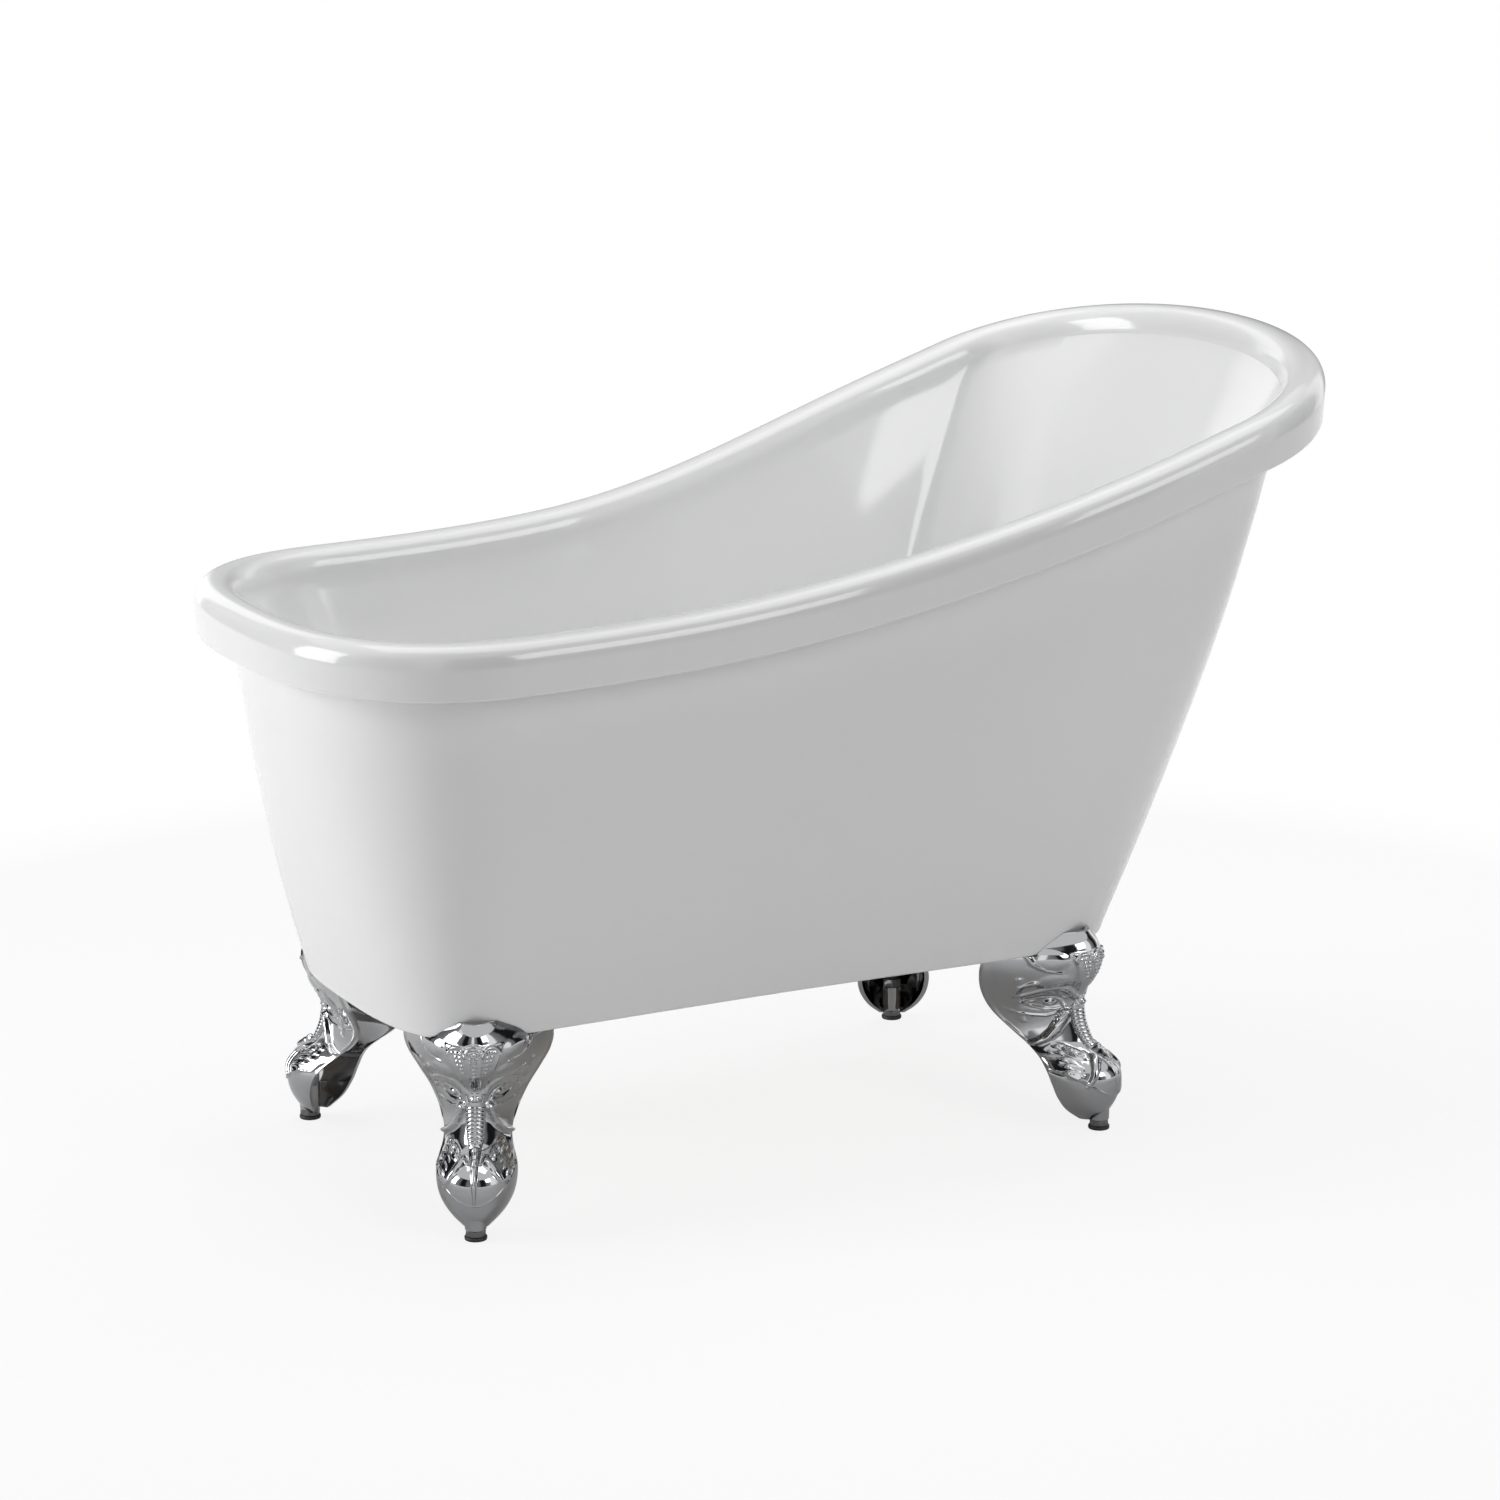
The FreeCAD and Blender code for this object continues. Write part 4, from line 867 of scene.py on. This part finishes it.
foot_plating = finish("foot_plating", (0.43, 0.435, 0.445), 0.10, 0.07, 0.05, 90.0, 0.02, metallic=1.0)
shell_points, shell_faces = foot_shell()
boss_and_ledge = joined([prism(circle(boss_radius), foot_levels[0, 0], boss_top), ledge_block()])
bores = joined([prism(circle(leveller_bore), 0, boss_top + 1)]
               + [prism(circle(bolt_hole, -bolt_back, side), ledge_low - 1, ledge_low + ledge_thickness + 1)
                  for side in (-bolt_side, bolt_side)])
trim_points, trim_faces = trim_block()
corners = {"toe": ((-387.5, -185.0), -math.pi / 2 - foot_turn),
           "head": ((250.0, -193.0), -math.pi / 2 + foot_turn)}
for end, (place, turn_here) in corners.items():
    near_foot = new_mesh("foot_%s_near" % end, stand(shell_points, place, turn_here), shell_faces)
    for (block_points, block_faces), operation in ((boss_and_ledge, "UNION"), (bores, "DIFFERENCE")):
        combine(near_foot, new_mesh("tool", stand(block_points, place, turn_here), block_faces), operation)
    combine(near_foot, new_mesh("tool", trim_points * mm, trim_faces), "DIFFERENCE")
    far_foot = near_foot.copy()
    far_foot.name = "foot_%s_far" % end
    far_foot.data = near_foot.data.copy()
    bpy.context.scene.collection.objects.link(far_foot)
    far_foot.data.transform(Matrix.Scale(-1, 4, (0, 1, 0)))
    far_foot.data.flip_normals()
    for foot, node in ((near_foot, "foot_%s_left" % end), (far_foot, "foot_%s_right" % end)):
        resurface(foot, 55, foot_plating)
        foot.data.update()
        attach(foot, "bath")
        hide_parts(node)

# ---------------------------------------------------------------- levellers
# An M10 hexagon-headed screw turns up into each foot's boss and carries a disc of dark moulded plastic,
# whose pin swivels in the screw's head. The screws are dull plated steel, the locknuts as well.
thread_radius = 5.0
thread_depth = 0.55
thread_pitch = 1.5
hexagon_apothem = 8.5
screw_head_low = 3.8
screw_head_high = 9.6
screw_top = 57.3


def turned(profile, columns, radius_rule=None):
    """Points and faces of a closed surface of revolution: rings at the profile's radii and heights between
    two poles on the axis. radius_rule may change the radius by bearing and height."""
    profile = np.asarray(profile, float)
    bearing = np.arange(columns) * 2 * np.pi / columns
    radius = np.broadcast_to(profile[1:-1, :1], (len(profile) - 2, columns))
    z = np.broadcast_to(profile[1:-1, 1:], radius.shape)
    if radius_rule is not None:
        radius = radius_rule(radius, bearing[None, :], z)
    rings = np.stack([radius * np.cos(bearing), radius * np.sin(bearing), z], -1).reshape(-1, 3)
    points = np.concatenate([rings, [(0, 0, profile[0, 1]), (0, 0, profile[-1, 1])]])
    index = np.arange(radius.size).reshape(radius.shape)
    after = np.roll(index, -1, 1)
    quads = np.stack([index[:-1], after[:-1], after[1:], index[1:]], -1).reshape(-1, 4).tolist()
    low = np.full(columns, len(points) - 2)
    high = np.full(columns, len(points) - 1)
    return points, (quads + np.stack([after[0], index[0], low], 1).tolist()
                    + np.stack([index[-1], after[-1], high], 1).tolist())


def screw_radius(radius, bearing, z):
    """The head is cut to a hexagon; above it a ridge winds up the shank, one turn for each pitch."""
    flat = hexagon_apothem / np.cos(bearing % (np.pi / 3) - np.pi / 6)
    wave = np.abs(2 * ((z / thread_pitch - bearing / (2 * np.pi)) % 1) - 1)
    cut = radius - thread_depth * (1 - wave) * (radius > thread_radius - 0.01) * (z < screw_top - 0.5)
    return np.where(z > screw_head_high + 0.6, cut, np.minimum(radius, flat))


shank_z = np.arange(screw_head_high + 0.7, screw_top - 0.3, 0.25)
# Radius and height, from the middle of the socket for the pad's pin to the shank's end
screw_profile = [(0, 7.4), (2.58, 7.4), (2.58, screw_head_low + 0.1), (2.7, screw_head_low),
                 (8.0, screw_head_low), (8.9, 4.0), (9.82, 4.55), (9.82, 8.85), (8.9, 9.4),
                 (8.0, screw_head_high), (5.5, screw_head_high), (thread_radius, screw_head_high + 0.4)]
screw_profile += [(thread_radius, z) for z in shank_z]
screw_profile += [(thread_radius - 0.8, screw_top), (0, screw_top)]
pad_profile = [(0, 0), (9.0, 0), (9.7, 0.25), (10, 0.9), (10, 2.6), (9.7, 3.25), (9.0, 3.5), (2.7, 3.5),
               (2.5, 3.7), (2.5, 6.8), (2.2, 7.1), (0, 7.1)]
screw_block = turned(screw_profile, 96, screw_radius)
pad_block = turned(pad_profile, 64)
leveller_steel = finish("leveller_steel", (0.20, 0.20, 0.205), 0.25, 0.30, 0.12, 160.0, 0.10, metallic=1.0)
pad_plastic = finish("pad_plastic", (0.035, 0.035, 0.037), 0.2, 0.5, 0.1, 220.0, 0.15)
for end, (place, turn_here) in corners.items():
    for hand, side in (("left", 1), ("right", -1)):
        for kind, block, slot, paint, angle in (("screw", screw_block, "leveller_steel", leveller_steel, 28),
                                                ("pad", pad_block, "pad_plastic", pad_plastic, 35)):
            corner_name = end + "_" + hand
            spot = (place[0], place[1] * side)
            # Each piece keeps the name that it has had from the start, short of its first letter
            piece = new_mesh(kind[1:] + "_of_" + corner_name, stand(block[0], spot, turn_here * side),
                             block[1], angle)
            piece.data.materials.append(paint)
            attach(piece, kind + "_" + corner_name)
            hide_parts("leveller_" + kind + "_" + corner_name)

# ---------------------------------------------------------------- waste and plug
# The push-down plug is a crowned disc of plated brass, rounded at its edge, on the waste's spider.
plug_low = 199.4
plug_high = 203.9
plug_radius = 32.0
plug_dome = 170.0
plug_rings = [(radius, plug_high - plug_dome + math.sqrt(plug_dome ** 2 - radius ** 2))
              for radius in (30.9, 29.6, 27, 24, 20, 16, 12, 8, 4)]
plug_profile = [(0, plug_low), (plug_radius - 0.6, plug_low), (plug_radius - 0.15, plug_low + 0.15),
                (plug_radius, plug_low + 0.5), (plug_radius - 0.1, plug_low + 0.95),
                (plug_radius - 0.45, plug_low + 1.35)] + plug_rings + [(0, plug_high)]
plug_points, plug_faces = turned(plug_profile, 128)
plug_points[:, 0] += waste_x
plug_top = new_mesh("plug_top", plug_points * mm, plug_faces, 35)
waste_plating = finish("waste_plating", (0.60, 0.605, 0.615), 0.05, 0.06, 0.04, 60.0, 0.008, metallic=1.0)
plug_top.data.materials.append(waste_plating)
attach(plug_top, "plug")
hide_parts("plug_cap")

# ---------------------------------------------------------------- overflow
# Six round holes and a middle screw in a bevelled, plated cover, on a rubber ring against the toe wall. It
# sits on the middle section's wall curve, square to it.
overflow_share = 0.8            # of the way along the curve from the floor
overflow_hole_radius = 22.0
cover_radius = 33.0
cover_thickness = 4.0
cover_seal = 2.0
cover_bore = 3.1
cover_hole = 4.0
cover_hole_ring = 15.0
cover_screw_end = -21.0
a, b, c, d = [pole[half_count] for pole in (flat, corner, middle, top)]
t = overflow_share
overflow_at = a * (1 - t) ** 3 + 3 * b * t * (1 - t) ** 2 + 3 * c * t * t * (1 - t) + d * t ** 3
wall_run = (1 - t) ** 2 * (b - a) + 2 * t * (1 - t) * (c - b) + t * t * (d - c)
wall_run /= np.linalg.norm(wall_run)
into_basin = np.array([wall_run[2], 0.0, -wall_run[0]])
into_basin *= np.sign(into_basin[0])
across_wall = np.cross(wall_run, into_basin)


def on_wall(points):
    """Points given sideways, up the wall and off the wall, moved to the overflow's place."""
    return overflow_at + points[:, :1] * across_wall + points[:, 1:2] * wall_run + points[:, 2:] * into_basin


def wall_mesh(name, block, smooth_angle=None):
    """An object from a block's points and faces at the overflow's place."""
    return new_mesh(name, on_wall(block[0]) * mm, block[1], smooth_angle)


cover_face = cover_seal + cover_thickness
cover_profile = [(0, cover_seal), (cover_radius - 0.5, cover_seal), (cover_radius, cover_seal + 0.5),
                 (cover_radius, cover_face - 1.6), (cover_radius - 0.5, cover_face - 0.5),
                 (cover_radius - 1.8, cover_face), (0, cover_face)]
cover = wall_mesh("overflow_plate", turned(cover_profile, 128))
outlines = [circle(cover_bore)]
outlines += [circle(cover_hole, aside, up) for up, aside in circle(cover_hole_ring, count=6)]
holes = joined([prism(outline, cover_seal - 1, cover_face + 1) for outline in outlines])
combine(cover, wall_mesh("tool", holes), "DIFFERENCE")
resurface(cover, 35, waste_plating)
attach(cover, "bath")
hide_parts("overflow_cover")

combine(inner_shell, wall_mesh("tool", prism(circle(overflow_hole_radius, count=96), -20, 20)), "DIFFERENCE")
resurface(inner_shell, 35, white_acrylic)
screw_dome = [(0, cover_screw_end), (2.5, cover_screw_end), (2.5, cover_face), (4.6, cover_face),
              (5.0, cover_face + 0.3), (4.8, cover_face + 0.9), (3.6, cover_face + 1.6),
              (1.8, cover_face + 1.95), (0, cover_face + 2.0)]
screw = wall_mesh("overflow_screw_head", turned(screw_dome, 64), 40)
socket = wall_mesh("tool", prism(circle(1.6, count=6), cover_face + 0.6, cover_face + 3))
combine(screw, socket, "DIFFERENCE")
resurface(screw, 40, waste_plating)
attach(screw, "bath")
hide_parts("overflow_screw")

# ---------------------------------------------------------------- hidden carrying parts
# Under the body lie the board, the plated brackets and fasteners, the moulded waste and overflow, their
# rubber seals and the brass parts. Their shapes stay as they were built, each with its own finish.
wood_stops = ((0.3, (0.44, 0.37, 0.28)), (0.72, (0.66, 0.59, 0.49)))
board_wood = bpy.data.materials.new("board_wood")
tree = start_tree(board_wood)
place = add_node(tree, "TexCoord").outputs["Object"]
stretch = add_node(tree, "Mapping", {"Vector": place, "Scale": (6.0, 60.0, 60.0)}).outputs["Vector"]
noise = add_node(tree, "TexNoise", {"Vector": stretch, "Scale": 1.0, "Detail": 6.0, "Distortion": 0.6})
grain = noise.outputs["Fac"]
relief = add_node(tree, "Bump", {"Strength": 0.25, "Distance": 0.0006, "Height": grain}).outputs["Normal"]
bsdf = add_node(tree, "BsdfPrincipled", {"Base Color": add_ramp(tree, grain, wood_stops), "Roughness": 0.55,
                                         "Normal": relief})
add_node(tree, "OutputMaterial", {"Surface": bsdf.outputs[0]})

finishes = {
    "acrylic": white_acrylic,
    "board": board_wood,
    "foot_plating": foot_plating,
    "zinc_steel": finish("zinc_steel", (0.56, 0.57, 0.59), 0.35, 0.34, 0.15, 45.0, 0.06, metallic=1.0),
    "leveller_steel": leveller_steel,
    "pad_plastic": pad_plastic,
    "waste_plating": waste_plating,
    "brass": finish("turned_brass", (0.72, 0.52, 0.24), 0.15, 0.22, 0.10, 70.0, 0.04, metallic=1.0),
    "cartridge_plastic": finish("cartridge_plastic", (0.74, 0.74, 0.70), 0.05, 0.45, 0.08, 150.0, 0.06),
    "seal_rubber": finish("seal_rubber", (0.022, 0.022, 0.023), 0.25, 0.62, 0.1, 260.0, 0.2),
    "waste_plastic": finish("waste_plastic", (0.80, 0.80, 0.79), 0.04, 0.38, 0.08, 120.0, 0.05),
}
for row in frame["record"]["subparts"]:
    node_mesh = frame["nodes"][row["node"]].data
    node_mesh.materials.clear()
    node_mesh.materials.append(finishes[row["material_slot"]])
